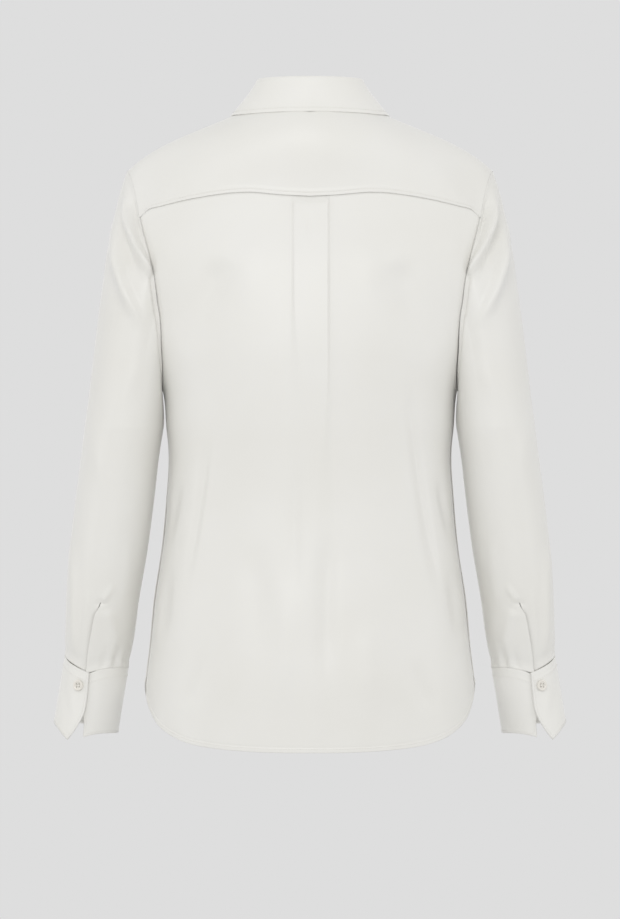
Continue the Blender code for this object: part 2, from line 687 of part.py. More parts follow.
def button(name, seat, out):
    """A disc with a raised rim, lying LAY_GAP off the cloth at seat."""
    out = unit(out)
    across = unit(np.cross(out, (0, 0, 1)))
    up = np.cross(across, out)
    profile = (  # radius, height above the seat
        (BUTTON_TURN_MM - 0.5, 0),
        (BUTTON_TURN_MM, 0.6),
        (BUTTON_TURN_MM, BUTTON_THICK - 0.4),
        (BUTTON_TURN_MM - 0.6, BUTTON_THICK),
        (BUTTON_TURN_MM - 1.6, BUTTON_THICK - 0.4),
    )
    sides = 16
    vertices, faces = [], []
    base = np.asarray(seat) + out * LAY_GAP
    for radius, height in profile:
        for k in range(sides):
            angle = 2 * math.pi * k / sides
            vertices.append(base + out * height + (across * math.cos(angle) + up * math.sin(angle)) * radius)
    for ring in range(len(profile) - 1):
        for k in range(sides):
            a, b = ring * sides + k, ring * sides + (k + 1) % sides
            faces.append((a, a + sides, b + sides, b))
    faces.append(tuple(range(sides)))
    faces.append(tuple(reversed(range((len(profile) - 1) * sides, len(profile) * sides))))
    return add_object(name, vertices, faces, PEARL)


# ---- build ----


def clear_scene():
    for obj in list(bpy.data.objects):
        bpy.data.objects.remove(obj, do_unlink=True)


def armhole_normals(yoke, back, front):
    """Which way the body's cloth faces at each point of the left armhole."""
    over = normals(yoke)[-1, : CROWN_FRONT_STEPS + CROWN_BACK_STEPS + 1]
    down = normals(back)[: len(ARMHOLE_BACK_Z), 0]
    up = normals(front)[: len(ARMHOLE_FRONT_V) + len(ARMHOLE_FRONT_Z) - 1, -1]
    tip = CROWN_FRONT_STEPS
    return np.concatenate([over[tip:-1], down, up[::-1], over[1:tip]])


def on_column(grid, column, z):
    """Point and facing of a grid's column at a height."""
    share = np.interp(-z, -grid[:, column, 2], np.arange(len(grid)))
    row, part = int(share), share % 1
    facing = normals(grid)
    return tuple(field[row, column] * (1 - part) + field[row + 1, column] * part for field in (grid, facing))


def add_buttons(front, stand):
    flip = np.array([-1, 1, 1])
    middle = stand.shape[1] - 2  # the stand's column at the centre front, on its right end
    button("button_collar", (stand[0, middle] + stand[-1, middle]) / 2, normals(stand)[0, middle])
    for number in range(FRONT_BUTTONS):
        seat, facing = on_column(front, 1, FIRST_BUTTON - BUTTON_PITCH * number)
        button("button_front_" + str(number + 1), seat * flip, facing * flip)
    turn, share = CUFF_BUTTON
    seat = cuff_point(turn, share)
    across, down = cuff_point(turn + 1, share) - seat, cuff_point(turn, share + 0.01) - seat
    facing = np.cross(down, across)
    button("button_cuff_left", seat, facing)
    button("button_cuff_right", seat * flip, facing * flip)


def main():
    clear_scene()
    back, yoke = back_grid(8), yoke_grid(6)
    front = front_grid(front_columns(9), 8)
    upper_front = lap(front)
    wall("back_panel", draw_back(back, ("top", "first", "last")))
    shoulders = wall("back_yoke", draw_back(yoke, ("top", "bottom", "bottom", "first", "last", "first", "last")))
    left = wall("front_left", draw_back(front, ("top", "last")))
    right = wall("front_right", draw_back(upper_front, ("top", "last")), mirror=True)

    stand = stand_grid(1)
    wall("collar_stand", stand)
    wall("collar_fall", fall_grid(4, (shoulders, left, right)))

    facing = armhole_normals(yoke, back, front)
    sleeve, joined, order = sleeve_grid(facing, 6, (-370, -415, -460, -490, SLIT_TOP), 4)
    own, facing = -normals(sleeve)[0], facing[order]
    share = ramp((own * facing).sum(axis=1), 0, 0.5)[:, None]
    rim = unit(own * (1 - share) + facing * share)
    for side, mirror in (("left", False), ("right", True)):
        wall("sleeve_" + side, sleeve, joined, rim, mirror)
        wall("cuff_" + side, cuff_grid(24, 4), mirror=mirror)
    add_buttons(upper_front, stand)


main()
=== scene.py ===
import math

import bpy
import numpy as np
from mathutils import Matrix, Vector
from mathutils.bvhtree import BVHTree


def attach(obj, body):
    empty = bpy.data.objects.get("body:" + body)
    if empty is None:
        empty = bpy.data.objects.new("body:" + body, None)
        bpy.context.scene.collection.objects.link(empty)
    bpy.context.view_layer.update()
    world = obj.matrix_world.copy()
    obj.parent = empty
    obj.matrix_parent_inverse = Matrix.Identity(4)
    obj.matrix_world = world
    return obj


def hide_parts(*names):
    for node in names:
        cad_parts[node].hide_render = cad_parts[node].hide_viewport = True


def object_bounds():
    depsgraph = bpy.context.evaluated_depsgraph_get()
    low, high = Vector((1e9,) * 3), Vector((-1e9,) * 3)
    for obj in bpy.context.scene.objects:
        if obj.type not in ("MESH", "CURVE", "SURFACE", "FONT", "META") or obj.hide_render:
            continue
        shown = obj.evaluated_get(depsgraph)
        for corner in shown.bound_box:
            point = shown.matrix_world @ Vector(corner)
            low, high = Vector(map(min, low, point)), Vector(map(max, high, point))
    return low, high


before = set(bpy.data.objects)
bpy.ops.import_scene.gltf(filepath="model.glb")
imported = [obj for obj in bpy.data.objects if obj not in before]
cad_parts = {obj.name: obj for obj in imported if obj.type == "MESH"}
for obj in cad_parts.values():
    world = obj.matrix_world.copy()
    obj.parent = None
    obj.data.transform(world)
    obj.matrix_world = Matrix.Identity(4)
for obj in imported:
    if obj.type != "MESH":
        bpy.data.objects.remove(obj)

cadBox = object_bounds()
mm = 0.001  # tables below are in millimetres

# ---------------------------------------------------------------- the cut and form

shape = {
    "clothBehind": 1.4,  # thickness of the stiff cloth in the frame
    "seam": 0.3,
    "layGap": 0.4,
    "bodyRound": 2.3,
    "sideHem": -600,
    "backTail": 74,
    "frontTail": 58,
    "tailCurve": 3.1,
    "bodyRings": (  # z, half width, back depth, front depth
        (-70, 205, 66, 72), (-108, 205, 78, 86), (-150, 202, 92, 102), (-200, 183, 101, 115),
        (-250, 169, 105, 121), (-270, 162.2, 104.7, 120.6), (-292, 156.2, 103.6, 119),
        (-330, 152.8, 101, 115), (-354, 150.5, 99, 112), (-407, 153, 97, 108), (-460, 158, 100, 107),
        (-513, 166, 105, 108), (-566, 171, 109, 109), (-598, 175, 111, 109), (-640, 177, 112, 109),
        (-680, 178, 112, 109),
    ),
    "yokeSeam": ((0, -85), (30, -83.4), (66, -80.6), (120, -86.6), (160, -95.6), (171, -98.6), (181, -107.6)),
    "backCorner": (181, -107.6),
    "frontCorner": (187, -50, -82),
    "shoulderTip": (195, -8, -57),
    "armholeBack": ((-107.6, 181), (-130, 175.5), (-150, 170), (-164, 166.5), (-200, 161.5)),  # z, x
    "armholeMid": -200,
    "underarm": -290,
}

neck = {
    "half": 64, "depth": 56, "middle": -6,
    "back": 13, "side": 12, "front": -50,
    "standBack": 27.4, "standFront": 26, "standHalf": 54.5, "standDepth": 49, "standLap": 0.22,
    "fallEnd": 176,
    "fallEdge": (  # turn, x, y, z of the fall's free edge
        (0, 0, 61.5, 6.5), (30, 40, 53, 6.0), (60, 71, 30, 4.5), (85, 84.5, 4, 4.4), (110, 85.5, -26, 0.6),
        (122, 82, -43, -13.5), (135, 75.5, -58, -31), (155, 60, -79, -56), (176, 43, -95, -79),
    ),
    "shoulderSeamTurn": math.radians(112),
}

pleat = {
    "right": -20, "left": 18,  # fold lines
    "proud": 2.8, "start": 8,
    "softFrom": -300, "softTo": -560,
}

fronts = {
    "past": 14, "level": 16, "fade": 32,
    "lapShare": 0.24, "neckShare": 0.56,
    "buttons": 7, "firstButton": -90, "buttonPitch": 80,
}

sleeve = {
    "rings": (  # z, inner x, outer x, centre y, half depth
        (-330, 155.9, 239.8, 0, 60), (-354, 159.7, 243, -1, 57), (-407, 166, 250, -5, 52),
        (-460, 173, 256, -9, 48), (-516, 182.5, 260, -14, 44), (-550, 187, 261, -18, 41),
        (-585, 193.3, 261.8, -22, 36), (-600, 194.5, 263.5, -24, 36),
    ),
    "top": -330, "slitTop": -516,
    "slitLine": ((-516, 88), (-535, 82.5), (-552, 79.5), (-571, 77.5), (-592, 78)),  # z, turn in degrees
    "slitGap": 0.9,
}

cuff = {
    "depth": 70,
    "top": ((-314, -594), (-282, -591.5), (-270, -589), (-180, -585), (-90, -577), (0, -573), (78, -591)),
    "shift": (11.5, -8), "half": 34.3, "halfDepth": 36,
    "flapEdge": ((0, 78), (0.25, 80), (0.55, 80), (0.8, 71), (1, 60)),  # share of the depth, turn
    "underEdge": ((0, 46), (0.5, 66), (0.65, 78), (1, 86)),
    "flare": 4.5, "tipDrop": 6.5,
}


def table(rows, at, column=1):  # smooth curve through the rows of a table
    x = np.array([row[0] for row in rows], float)
    y = np.array([row[column] for row in rows], float)
    if x[0] > x[-1]:
        x, y = x[::-1], y[::-1]
    at = np.clip(np.asarray(at, float), x[0], x[-1])
    slope = np.gradient(y, x)
    i = np.clip(np.searchsorted(x, at) - 1, 0, len(x) - 2)
    span = x[i + 1] - x[i]
    t = (at - x[i]) / span
    return ((2 * t**3 - 3 * t**2 + 1) * y[i] + (t**3 - 2 * t**2 + t) * span * slope[i]
            + (3 * t**2 - 2 * t**3) * y[i + 1] + (t**3 - t**2) * span * slope[i + 1])


def ramp(at, start, end):
    t = np.clip((np.asarray(at, float) - start) / (end - start), 0, 1)
    return t * t * (3 - 2 * t)


def point(x, y, z):
    return np.array(np.broadcast_arrays(x, y, z), float).T


def unit(v):
    v = np.asarray(v, float)
    return v / np.maximum(np.linalg.norm(v, axis=-1, keepdims=True), 1e-12)


def bezier(p0, p1, p2, p3, t):
    t = np.asarray(t, float)[..., None]
    return (1 - t) ** 3 * p0 + 3 * t * (1 - t) ** 2 * p1 + 3 * t**2 * (1 - t) * p2 + t**3 * p3


def normals(grid):  # outward, for rows that run down and columns that run to a smaller turn
    return unit(np.cross(np.gradient(grid, axis=0), np.gradient(grid, axis=1)))


def body(turn, z):  # turn 0 is the centre back, a quarter turn the left side
    side = np.sin(turn)
    bulge = np.clip(1 - np.abs(side) ** shape["bodyRound"], 0, 1) ** (1 / shape["bodyRound"])
    rings = shape["bodyRings"]
    depth = np.where(np.cos(turn) >= 0, table(rings, z, 2), -table(rings, z, 3))
    return point(table(rings, z, 1) * side, depth * bulge, z)


def turnForX(x, z):
    return np.arcsin(np.clip(x / table(shape["bodyRings"], z, 1), -1, 1))


def turnForDepth(y, z, front):
    depth = table(shape["bodyRings"], z, 3 if front else 2)
    side = np.clip(1 - (abs(y) / depth) ** shape["bodyRound"], 0, 1) ** (1 / shape["bodyRound"])
    return math.pi - math.asin(side) if front else math.asin(side)


def hem(turn):
    fromSide = np.abs(np.arcsin(np.sin(turn))) / (math.pi / 2)
    tail = np.where(np.cos(turn) >= 0, shape["backTail"], shape["frontTail"])
    return shape["sideHem"] - tail * (1 - fromSide ** shape["tailCurve"])


def backEdge(z):
    if z <= shape["underarm"]:
        return math.pi / 2
    if z >= shape["armholeMid"]:
        return float(turnForX(table(shape["armholeBack"], z), z))
    widest = body(backEdge(shape["armholeMid"]), shape["armholeMid"])[1]
    drop = (shape["armholeMid"] - z) / (shape["armholeMid"] - shape["underarm"])
    return turnForDepth(widest * math.sqrt(max(0, 1 - drop**2)), z, False)


def frontEdge(z):
    if z <= shape["underarm"]:
        return math.pi / 2
    widest = body(math.pi - backEdge(shape["armholeMid"]), shape["armholeMid"])[1]
    drop = (shape["armholeMid"] - z) / (shape["armholeMid"] - shape["underarm"])
    return turnForDepth(widest * math.sqrt(max(0, 1 - drop**2)), z, True)


def neckline(turn):
    front = np.cos(turn) < 0
    swing = np.abs(np.cos(turn)) ** np.where(front, 1.7, 2)
    z = neck["side"] + (np.where(front, neck["front"], neck["back"]) - neck["side"]) * swing
    return point(neck["half"] * np.sin(turn), neck["middle"] + neck["depth"] * np.cos(turn), z)


def crown(t, front):  # top of the armhole, from its tip to a corner of the yoke
    tip = np.array(shape["shoulderTip"], float)
    low = shape["backCorner"][1]
    end = np.array(shape["frontCorner"], float) if front else body(backEdge(low), low)
    t = np.asarray(t, float)
    return tip + (end - tip) * np.stack([t**1.5, t, t**2.6], axis=-1)


# ---------------------------------------------------------------- fronts


def centreX(u):
    return -fronts["past"] + (fronts["past"] + fronts["fade"]) * u / fronts["lapShare"]


def shoulderSeam(t):  # front edge of the yoke, where it meets a front
    inner, outer = neckline(neck["shoulderSeamTurn"]), np.array(shape["frontCorner"], float)
    reach = np.linalg.norm(outer - inner)
    leave, arrive = unit((0.93, -0.42, -0.52)), unit((-0.72, -0.1, 0.68))
    return bezier(inner, inner + leave * reach * 0.38, outer + arrive * reach * 0.2, outer, t)


def frontTopEdge(u):
    lapShare, neckShare, seamTurn = fronts["lapShare"], fronts["neckShare"], neck["shoulderSeamTurn"]
    near = math.pi - np.arcsin(centreX(np.minimum(u, lapShare)) / neck["half"])
    turned = math.pi - math.asin(fronts["fade"] / neck["half"])
    past = np.clip((u - lapShare) / (neckShare - lapShare), 0, 1)
    around = neckline(near + (seamTurn - turned) * past)
    seam = shoulderSeam(np.clip((u - neckShare) / (1 - neckShare), 0, 1))
    return np.where((u < neckShare)[..., None], around, seam)


def frontTurn(u, z):
    lapShare = fronts["lapShare"]
    near = math.pi - turnForX(centreX(np.minimum(u, lapShare)), z)
    turned = math.pi - turnForX(fronts["fade"], z)
    return near + (frontEdge(float(z)) - turned) * np.clip((u - lapShare) / (1 - lapShare), 0, 1)


def frontUpper(u, v):
    mid = shape["armholeMid"]
    top = frontTopEdge(u)
    low, below = body(frontTurn(u, mid), mid), body(frontTurn(u, mid), mid - 10)
    leave = unit(point(-0.3 * u**3, -0.75 + 0.3 * u**2, -0.65 - 0.2 * u**2))
    reach = np.linalg.norm(low - top, axis=-1, keepdims=True) * 0.36
    return bezier(top, top + leave * reach, low + unit(low - below) * reach, low, v)


def armholeHeights(count):  # heights down the lower armhole, even along its curve
    angle = np.linspace(0, math.pi / 2, count + 1)[1:]
    return shape["armholeMid"] - (shape["armholeMid"] - shape["underarm"]) * np.sin(angle)


def frontGrid(columns, upper, lower, tail):
    past = (fronts["past"] + fronts["level"] * 2) / (fronts["past"] + fronts["fade"]) * fronts["lapShare"]
    u = np.concatenate([np.linspace(0, past, 40)[:-1], np.linspace(past, 1, columns - 39)])
    rows = [frontUpper(u, np.full(u.shape, v)) for v in np.linspace(0, 1, upper + 1)]
    rows += [body(frontTurn(u, z), z) for z in armholeHeights(lower)]
    turn = frontTurn(u, shape["underarm"])
    for share in tailShares(tail)[1:]:
        rows.append(body(turn, shape["underarm"] + (hem(turn) - shape["underarm"]) * share))
    return np.array(rows)


def lap(grid):  # the upper front, lifted off the one beneath
    lift = (shape["clothBehind"] + shape["layGap"]) * (1 - ramp(grid[..., 0], fronts["level"] + 0.5, fronts["fade"]))
    return grid + normals(grid) * lift[..., None]


# ---------------------------------------------------------------- back and yoke


def seamHeight(x):
    return table(shape["yokeSeam"], np.abs(x))


def backTurn(x, edgeZ, z):
    corner = shape["backCorner"][1]
    spread = turnForX(x, corner) * backEdge(edgeZ) / backEdge(corner)
    upright = turnForX(x, z)
    return upright + (spread - upright) * ramp(np.abs(x), 30, 110)


def backRow(x, edgeZ, share):
    corner = shape["backCorner"][1]
    spread = turnForX(x, corner) * backEdge(edgeZ) / backEdge(corner)
    above, below = (seamHeight(x), shape["underarm"]) if edgeZ > shape["underarm"] else (shape["underarm"], hem(spread))
    z = above + (below - above) * share
    return body(backTurn(x, edgeZ, z), z)


def backColumns(count):
    right, left = pleat["right"], pleat["left"]
    fine = np.concatenate([np.linspace(right - 8, right + 6, 22), np.linspace(right + 6, left - 6, 14)[1:-1],
                           np.linspace(left - 6, left + 8, 22)])
    edge = shape["backCorner"][0]
    side = np.linspace(0, 1, count)[1:] ** 0.95
    return np.concatenate([(right - 8 - (edge + right - 8) * side)[::-1], fine, left + 8 + (edge - left - 8) * side])


def backGrid(columns, upper, tail):
    x = backColumns(columns)
    first, under = shape["backCorner"][1], shape["underarm"]
    heights = np.concatenate([np.linspace(first, shape["armholeMid"], upper)[:-1], [shape["armholeMid"]],
                              armholeHeights(upper)[:-1]])
    rows = [backRow(x, z, (first - z) / (first - under)) for z in heights]
    rows += [backRow(x, under, share) for share in tailShares(tail)]
    return np.array(rows)[:, ::-1]


def tailShares(count):  # rows close up over the last part, where the hem is rolled
    return np.concatenate([np.linspace(0, 0.972, count - 11), np.linspace(0.972, 1, 13)[1:]])


def yokeOutline(place, steps):  # the left half of the edge it is sewn on by: seam, armhole's back and front
    seamX = shape["backCorner"][0] * np.clip(place / steps[0], 0, 1)
    corner = shape["backCorner"][1]
    seam = body(backTurn(seamX, corner, seamHeight(seamX)), seamHeight(seamX))
    behind = crown(np.clip(1 - (place - steps[0]) / steps[1], 0, 1), False)
    before = crown(np.clip((place - steps[0] - steps[1]) / steps[2], 0, 1), True)
    outline = np.where((place > steps[0])[:, None], behind, seam)
    return np.where((place > steps[0] + steps[1])[:, None], before, outline)


def yokeGrid(steps, rows):
    place = np.arange(sum(steps) + 1)
    outer = yokeOutline(place, steps)
    atCorner, atTip = steps[0], steps[0] + steps[1]
    turn = np.interp(place, [0, atCorner, atTip, place[-1]],
                     [0, math.radians(62), math.pi / 2, neck["shoulderSeamTurn"]])
    inner = neckline(turn)
    leave = unit(point(np.sin(turn), 0.86 * np.cos(turn), -0.6 + 0 * turn))
    arrive = unit(np.stack([np.interp(place, [0, atCorner * 0.6, atCorner, atTip], values) for values in
                            ((0, 0, -0.3, -0.72), (-0.08, -0.08, 0.02, 0.0), (1, 1, 0.95, 0.69))], axis=-1))
    reach = np.linalg.norm(outer - inner, axis=1)[:, None]
    p1, p2 = inner + leave * reach * 0.38, outer + arrive * reach * 0.3
    half = np.array([bezier(inner, p1, p2, outer, np.full(len(outer), t)) for t in np.linspace(0, 1, rows + 1)])
    half[:, -1] = shoulderSeam(np.linspace(0, 1, rows + 1))
    whole = np.concatenate([half[:, :0:-1] * (-1, 1, 1), half], axis=1)[:, ::-1]
    held = np.zeros(whole.shape[:2], bool)
    held[[0, 1, -1]] = True
    held[:, [0, -1]] = True
    middle = len(place) - 1
    for side in (-1, 1):
        held[:, middle + side * atTip] = True  # the line of the shoulder
    held[-2] = np.abs(np.abs(np.arange(2 * middle + 1) - middle) - atCorner) > 3
    finer = 3
    sheet = refinedColumns(relaxed(whole, held), np.linspace(0, 1, 2 * middle * finer + 1))
    exact = yokeOutline(np.arange(middle * finer + 1) / finer, steps)
    exact = np.concatenate([exact[:0:-1] * (-1, 1, 1), exact])[::-1]
    return sheet + (np.linspace(0, 1, rows + 1) ** 4)[:, None, None] * (exact - sheet[-1])


def relaxed(grid, held):  # lets the cloth between the held places find the smoothest form, like a bent sheet
    rows, columns = grid.shape[:2]
    index = np.arange(rows * columns).reshape(rows, columns)
    inner = index[1:-1, 1:-1].ravel()
    bend = np.zeros((len(inner), rows * columns))
    each = np.arange(len(inner))
    bend[each, inner] = 4
    for step in (-1, 1, -columns, columns):
        bend[each, inner + step] = -1
    free, fixed = ~held.ravel(), held.ravel()
    places = grid.reshape(-1, 3).copy()
    loose, tied = bend[:, free], bend[:, fixed]
    places[free] = np.linalg.solve(loose.T @ loose, -loose.T @ (tied @ places[fixed]))
    return places.reshape(rows, columns, 3)


def refinedColumns(grid, shares):
    return refinedRows(grid.transpose(1, 0, 2), shares).transpose(1, 0, 2)


def refinedRows(grid, shares):  # rows of a smooth sheet at any shares of the way down
    rows = np.arange(len(grid))
    at = np.asarray(shares) * (len(grid) - 1)
    flat = grid.reshape(len(grid), -1)
    slope = np.gradient(flat, axis=0)
    i = np.clip(at.astype(int), 0, len(grid) - 2)
    t = (at - rows[i])[:, None]
    fine = ((2 * t**3 - 3 * t**2 + 1) * flat[i] + (t**3 - 2 * t**2 + t) * slope[i]
            + (3 * t**2 - 2 * t**3) * flat[i + 1] + (t**3 - t**2) * slope[i + 1])
    return fine.reshape(len(at), *grid.shape[1:])


# ---------------------------------------------------------------- sleeves, cuffs and collar


def armhole(crownBack, middle, lower, crownFront):
    first, mid = shape["backCorner"][1], shape["armholeMid"]
    down = [body(backEdge(z), z) for z in np.concatenate([np.linspace(first, mid, middle + 1), armholeHeights(lower)])]
    up = [body(frontEdge(z), z) for z in armholeHeights(lower)[-2::-1]]
    front = [frontUpper(np.array([1.0]), np.array([v]))[0] for v in np.linspace(1, 0, middle + 1)]
    return np.concatenate([crown(np.linspace(0, 1, crownBack + 1)[:-1], False), down, up, front,
                           crown(np.linspace(1, 0, crownFront + 1)[1:-1], True)]), crownBack + middle + lower


def sleevePoint(turn, z):
    rings = sleeve["rings"]
    inner, outer = table(rings, z, 1), table(rings, z, 2)
    return point((inner + outer) / 2 + (outer - inner) / 2 * np.cos(turn),
                 table(rings, z, 3) + table(rings, z, 4) * np.sin(turn), z)


def slitTurns(turns, slit, z):
    line = math.radians(float(table(sleeve["slitLine"], z)))
    if z > sleeve["slitTop"]:
        line = line + (turns[slit] - line) * ramp(z, sleeve["slitTop"], sleeve["top"])
    return np.interp(turns, [0, turns[slit], math.pi, 2 * math.pi], [0, line, math.pi, 2 * math.pi])


def sleeveGrid(upper, middle, slitRows):
    ring, under = armhole(18, 26, 30, 12)
    step = np.linalg.norm(np.diff(ring, axis=0, append=ring[:1]), axis=1)
    way = np.concatenate([[0], np.cumsum(step)[:-1]])
    turns = np.interp(way, [0, way[under], step.sum()], [0, math.pi, 2 * math.pi])
    slit = int(np.argmin(np.abs(np.degrees(turns) - sleeve["slitLine"][0][1])))
    low = sleevePoint(slitTurns(turns, slit, sleeve["top"]), sleeve["top"])
    length = np.linalg.norm(low - ring, axis=1)[:, None]
    leave = unit(point(0.2 + 0.16 * np.cos(turns) + 0.2 * np.abs(np.sin(turns)), 0.3 * np.sin(turns), -0.9 + 0 * turns))
    rows = [bezier(ring, ring + leave * length * 0.22, low + np.array([-0.13, 0, 0.99]) * length * 0.33, low,
                   np.full(len(ring), t)) for t in np.linspace(0, 1, upper + 1)]
    rows += [sleevePoint(slitTurns(turns, slit, z), z)
             for z in np.linspace(sleeve["top"], sleeve["slitTop"], middle + 1)[1:]]
    order = np.arange(slit, slit + len(ring) + 1) % len(ring)
    rows = [row[order] for row in rows]
    settled = np.degrees(slitTurns(turns, slit, sleeve["slitLine"][-1][0])[order])
    settled[0] = settled[0] + 1e-6
    bottom = table(cuff["top"], np.where(settled > sleeve["slitLine"][-1][1], settled - 360, settled))
    bottom[-1] = table(cuff["top"], 78)
    for share in np.linspace(0, 1, slitRows + 1)[1:]:
        z = sleeve["slitTop"] + (bottom - sleeve["slitTop"]) * share
        row = sleevePoint(slitTurns(turns, slit, float(z[0]))[order], z)
        opened = sleeve["slitGap"] * math.sin(math.pi * min(1, 0.08 + 0.9 * share)) ** 0.7
        near = np.exp(-np.arange(len(row)) / 5.0)
        row[:, 0] += opened * (near[::-1] - near)
        rows.append(row)
    return np.array(rows), upper + middle + 1


def cuffPoint(turn, share):
    under = -table(cuff["underEdge"], share)
    flap = 1 - ramp(-turn, under + 4, under + 34)
    grow = (shape["clothBehind"] + 2 * shape["layGap"]) * flap + cuff["flare"] * ramp(share, 0.35, 1) * ramp(turn, 0, 70)
    angle = np.radians(turn)
    ring = sleeve["rings"][-2]
    return point((ring[1] + ring[2]) / 2 + cuff["shift"][0] * share + (cuff["half"] + grow) * np.cos(angle),
                 ring[3] + cuff["shift"][1] * share + (cuff["halfDepth"] + grow) * np.sin(angle),
                 table(cuff["top"], turn) - (cuff["depth"] + cuff["tipDrop"] * ramp(turn, 30, 68)) * share)


def cuffGrid(columns, rows):
    grid = []
    for share in np.linspace(0, 1, rows + 1):
        flap, under = float(table(cuff["flapEdge"], share)), float(table(cuff["underEdge"], share)) - 360
        grid.append(cuffPoint(np.linspace(under, flap, columns + 1), share))
    return np.array(grid)


def standTop(turn):
    rise = neck["standFront"] + (neck["standBack"] - neck["standFront"]) * (1 + np.cos(turn)) / 2
    return point(neck["standHalf"] * np.sin(turn), neck["middle"] + neck["standDepth"] * np.cos(turn),
                 neckline(turn)[..., 2] + rise)


def neckAway(turn):
    return unit(point(np.sin(turn), np.cos(turn), 0 * turn))


def collarLift(turn, bothEnds):
    toEnd = math.pi - (np.abs(turn) if bothEnds else -turn)
    return (shape["clothBehind"] + shape["layGap"]) * (1 - ramp(toEnd, neck["standLap"] + 0.01, 2 * neck["standLap"]))


def standGrid(columns, rows):
    turn = np.linspace(math.pi + neck["standLap"], -math.pi - neck["standLap"], columns + 1)
    lift = collarLift(turn, False)[:, None]
    low, high = neckline(turn) + lift * (0, 0, 0.8), standTop(turn)
    return np.array([high + (low - high) * t for t in np.linspace(0, 1, rows + 1)]) + neckAway(turn) * lift


def fallGrid(columns, rows):
    turn = np.radians(np.linspace(neck["fallEnd"], -neck["fallEnd"], columns + 1))
    away, up = neckAway(turn), np.array([0.0, 0.0, 1.0])
    edge = [table(neck["fallEdge"], abs(np.degrees(turn)), column) for column in (1, 2, 3)]
    edge = point(np.sign(turn) * edge[0], edge[1], edge[2])
    top = standTop(turn) + away * collarLift(turn, True)[:, None]
    along = np.linspace(0, 1, 9)
    roll = table(((0, -1.2), (0.5, 0.6), (1, 2.8)), along), table(((0, 2.1), (0.5, 2.9), (1, 0.9)), along)
    grid = [top + away * out + up * high for out, high in zip(*roll)]
    start = grid[-1]
    reach = np.linalg.norm(edge - start, axis=1)[:, None]
    p1 = start + unit(away * 0.35 - up) * reach * 0.3
    p2 = edge + unit(-away * 0.75 + up) * reach * 0.25
    grid += [bezier(start, p1, p2, edge, np.full(len(turn), t)) for t in np.linspace(0, 1, rows + 1)[1:]]
    return np.array(grid)


# ---------------------------------------------------------------- folds


def alongPath(places, path, steps=40):  # share of the way along a smooth path, and distance to each side of it
    path = np.array(path, float)
    way = np.linspace(0, 1, len(path))
    fine = np.stack([table(np.stack([way, path[:, k]], 1), np.linspace(0, 1, steps)) for k in (0, 1)], 1)
    best, share, side = np.full(len(places), 1e9), np.zeros(len(places)), np.zeros(len(places))
    for k in range(steps - 1):
        a, d = fine[k], fine[k + 1] - fine[k]
        t = np.clip(((places - a) @ d) / (d @ d), 0, 1)
        off = places - a - t[:, None] * d
        far = np.linalg.norm(off, axis=1)
        near = far < best
        best = np.where(near, far, best)
        share = np.where(near, (k + t) / (steps - 1), share)
        side = np.where(near, np.sign(d[0] * off[:, 1] - d[1] * off[:, 0]), side)
    return share, best, side


def foldLift(grid, folds):  # soft troughs and ridges, placed by x and z
    places = grid[..., [0, 2]].reshape(-1, 2)
    lift = np.zeros(len(places))
    for path, depth, width, more in folds:
        path = np.array(path, float)
        skew = more.get("skew", 1)  # width on one side of the path against the other
        reach = 3 * width * max(1, skew)
        inside = ((places >= path.min(0) - reach) & (places <= path.max(0) + reach)).all(axis=1)
        if not inside.any():
            continue
        share, far, side = alongPath(places[inside], path)
        start, end = more.get("fade", (0.25, 0.35))
        size = ramp(share, -0.02, start) * (1 - ramp(share, 1 - end, 1.02))
        wide = np.where(side > 0, width * skew, width)
        lift[inside] += depth * size * np.exp(-((far / wide) ** 2))
    return lift.reshape(grid.shape[:2])


def fold(path, depth, width, **more):
    return path, depth, width, more


def turnedOver(folds):  # the same folds on the other side
    turned = []
    for path, depth, width, more in folds:
        skew = more.get("skew", 1)
        turned.append(([(-x, z) for x, z in path], depth, width * skew, dict(more, skew=1 / skew)))
    return turned


def fromEnd(grid):  # distance of each point from the bottom of its column
    step = np.linalg.norm(np.diff(grid, axis=0), axis=-1)
    return np.concatenate([np.cumsum(step[::-1], axis=0)[::-1], np.zeros((1, grid.shape[1]))])


def fromSides(grid):  # distance of each point from the first and the last column
    step = np.linalg.norm(np.diff(grid, axis=1), axis=-1)
    start = np.concatenate([np.zeros((len(grid), 1)), np.cumsum(step, axis=1)], axis=1)
    return start, start[:, -1:] - start


def bump(at, middle, width):
    return np.exp(-(((at - middle) / width) ** 2))


def raised(grid, lift, outward=1):
    return grid + outward * normals(grid) * lift[..., None]


def wavering(at, seed, size, pitch):  # a smooth uneven wave along a hem or edge
    draw = np.random.default_rng(seed)
    wave = 0
    for k in range(4):
        wave = wave + draw.uniform(0.4, 1) * np.sin(at / (pitch * draw.uniform(0.6, 1.7)) * 2 * math.pi + draw.uniform(0, 6))
    return wave * size / 2


# ---------------------------------------------------------------- finishes


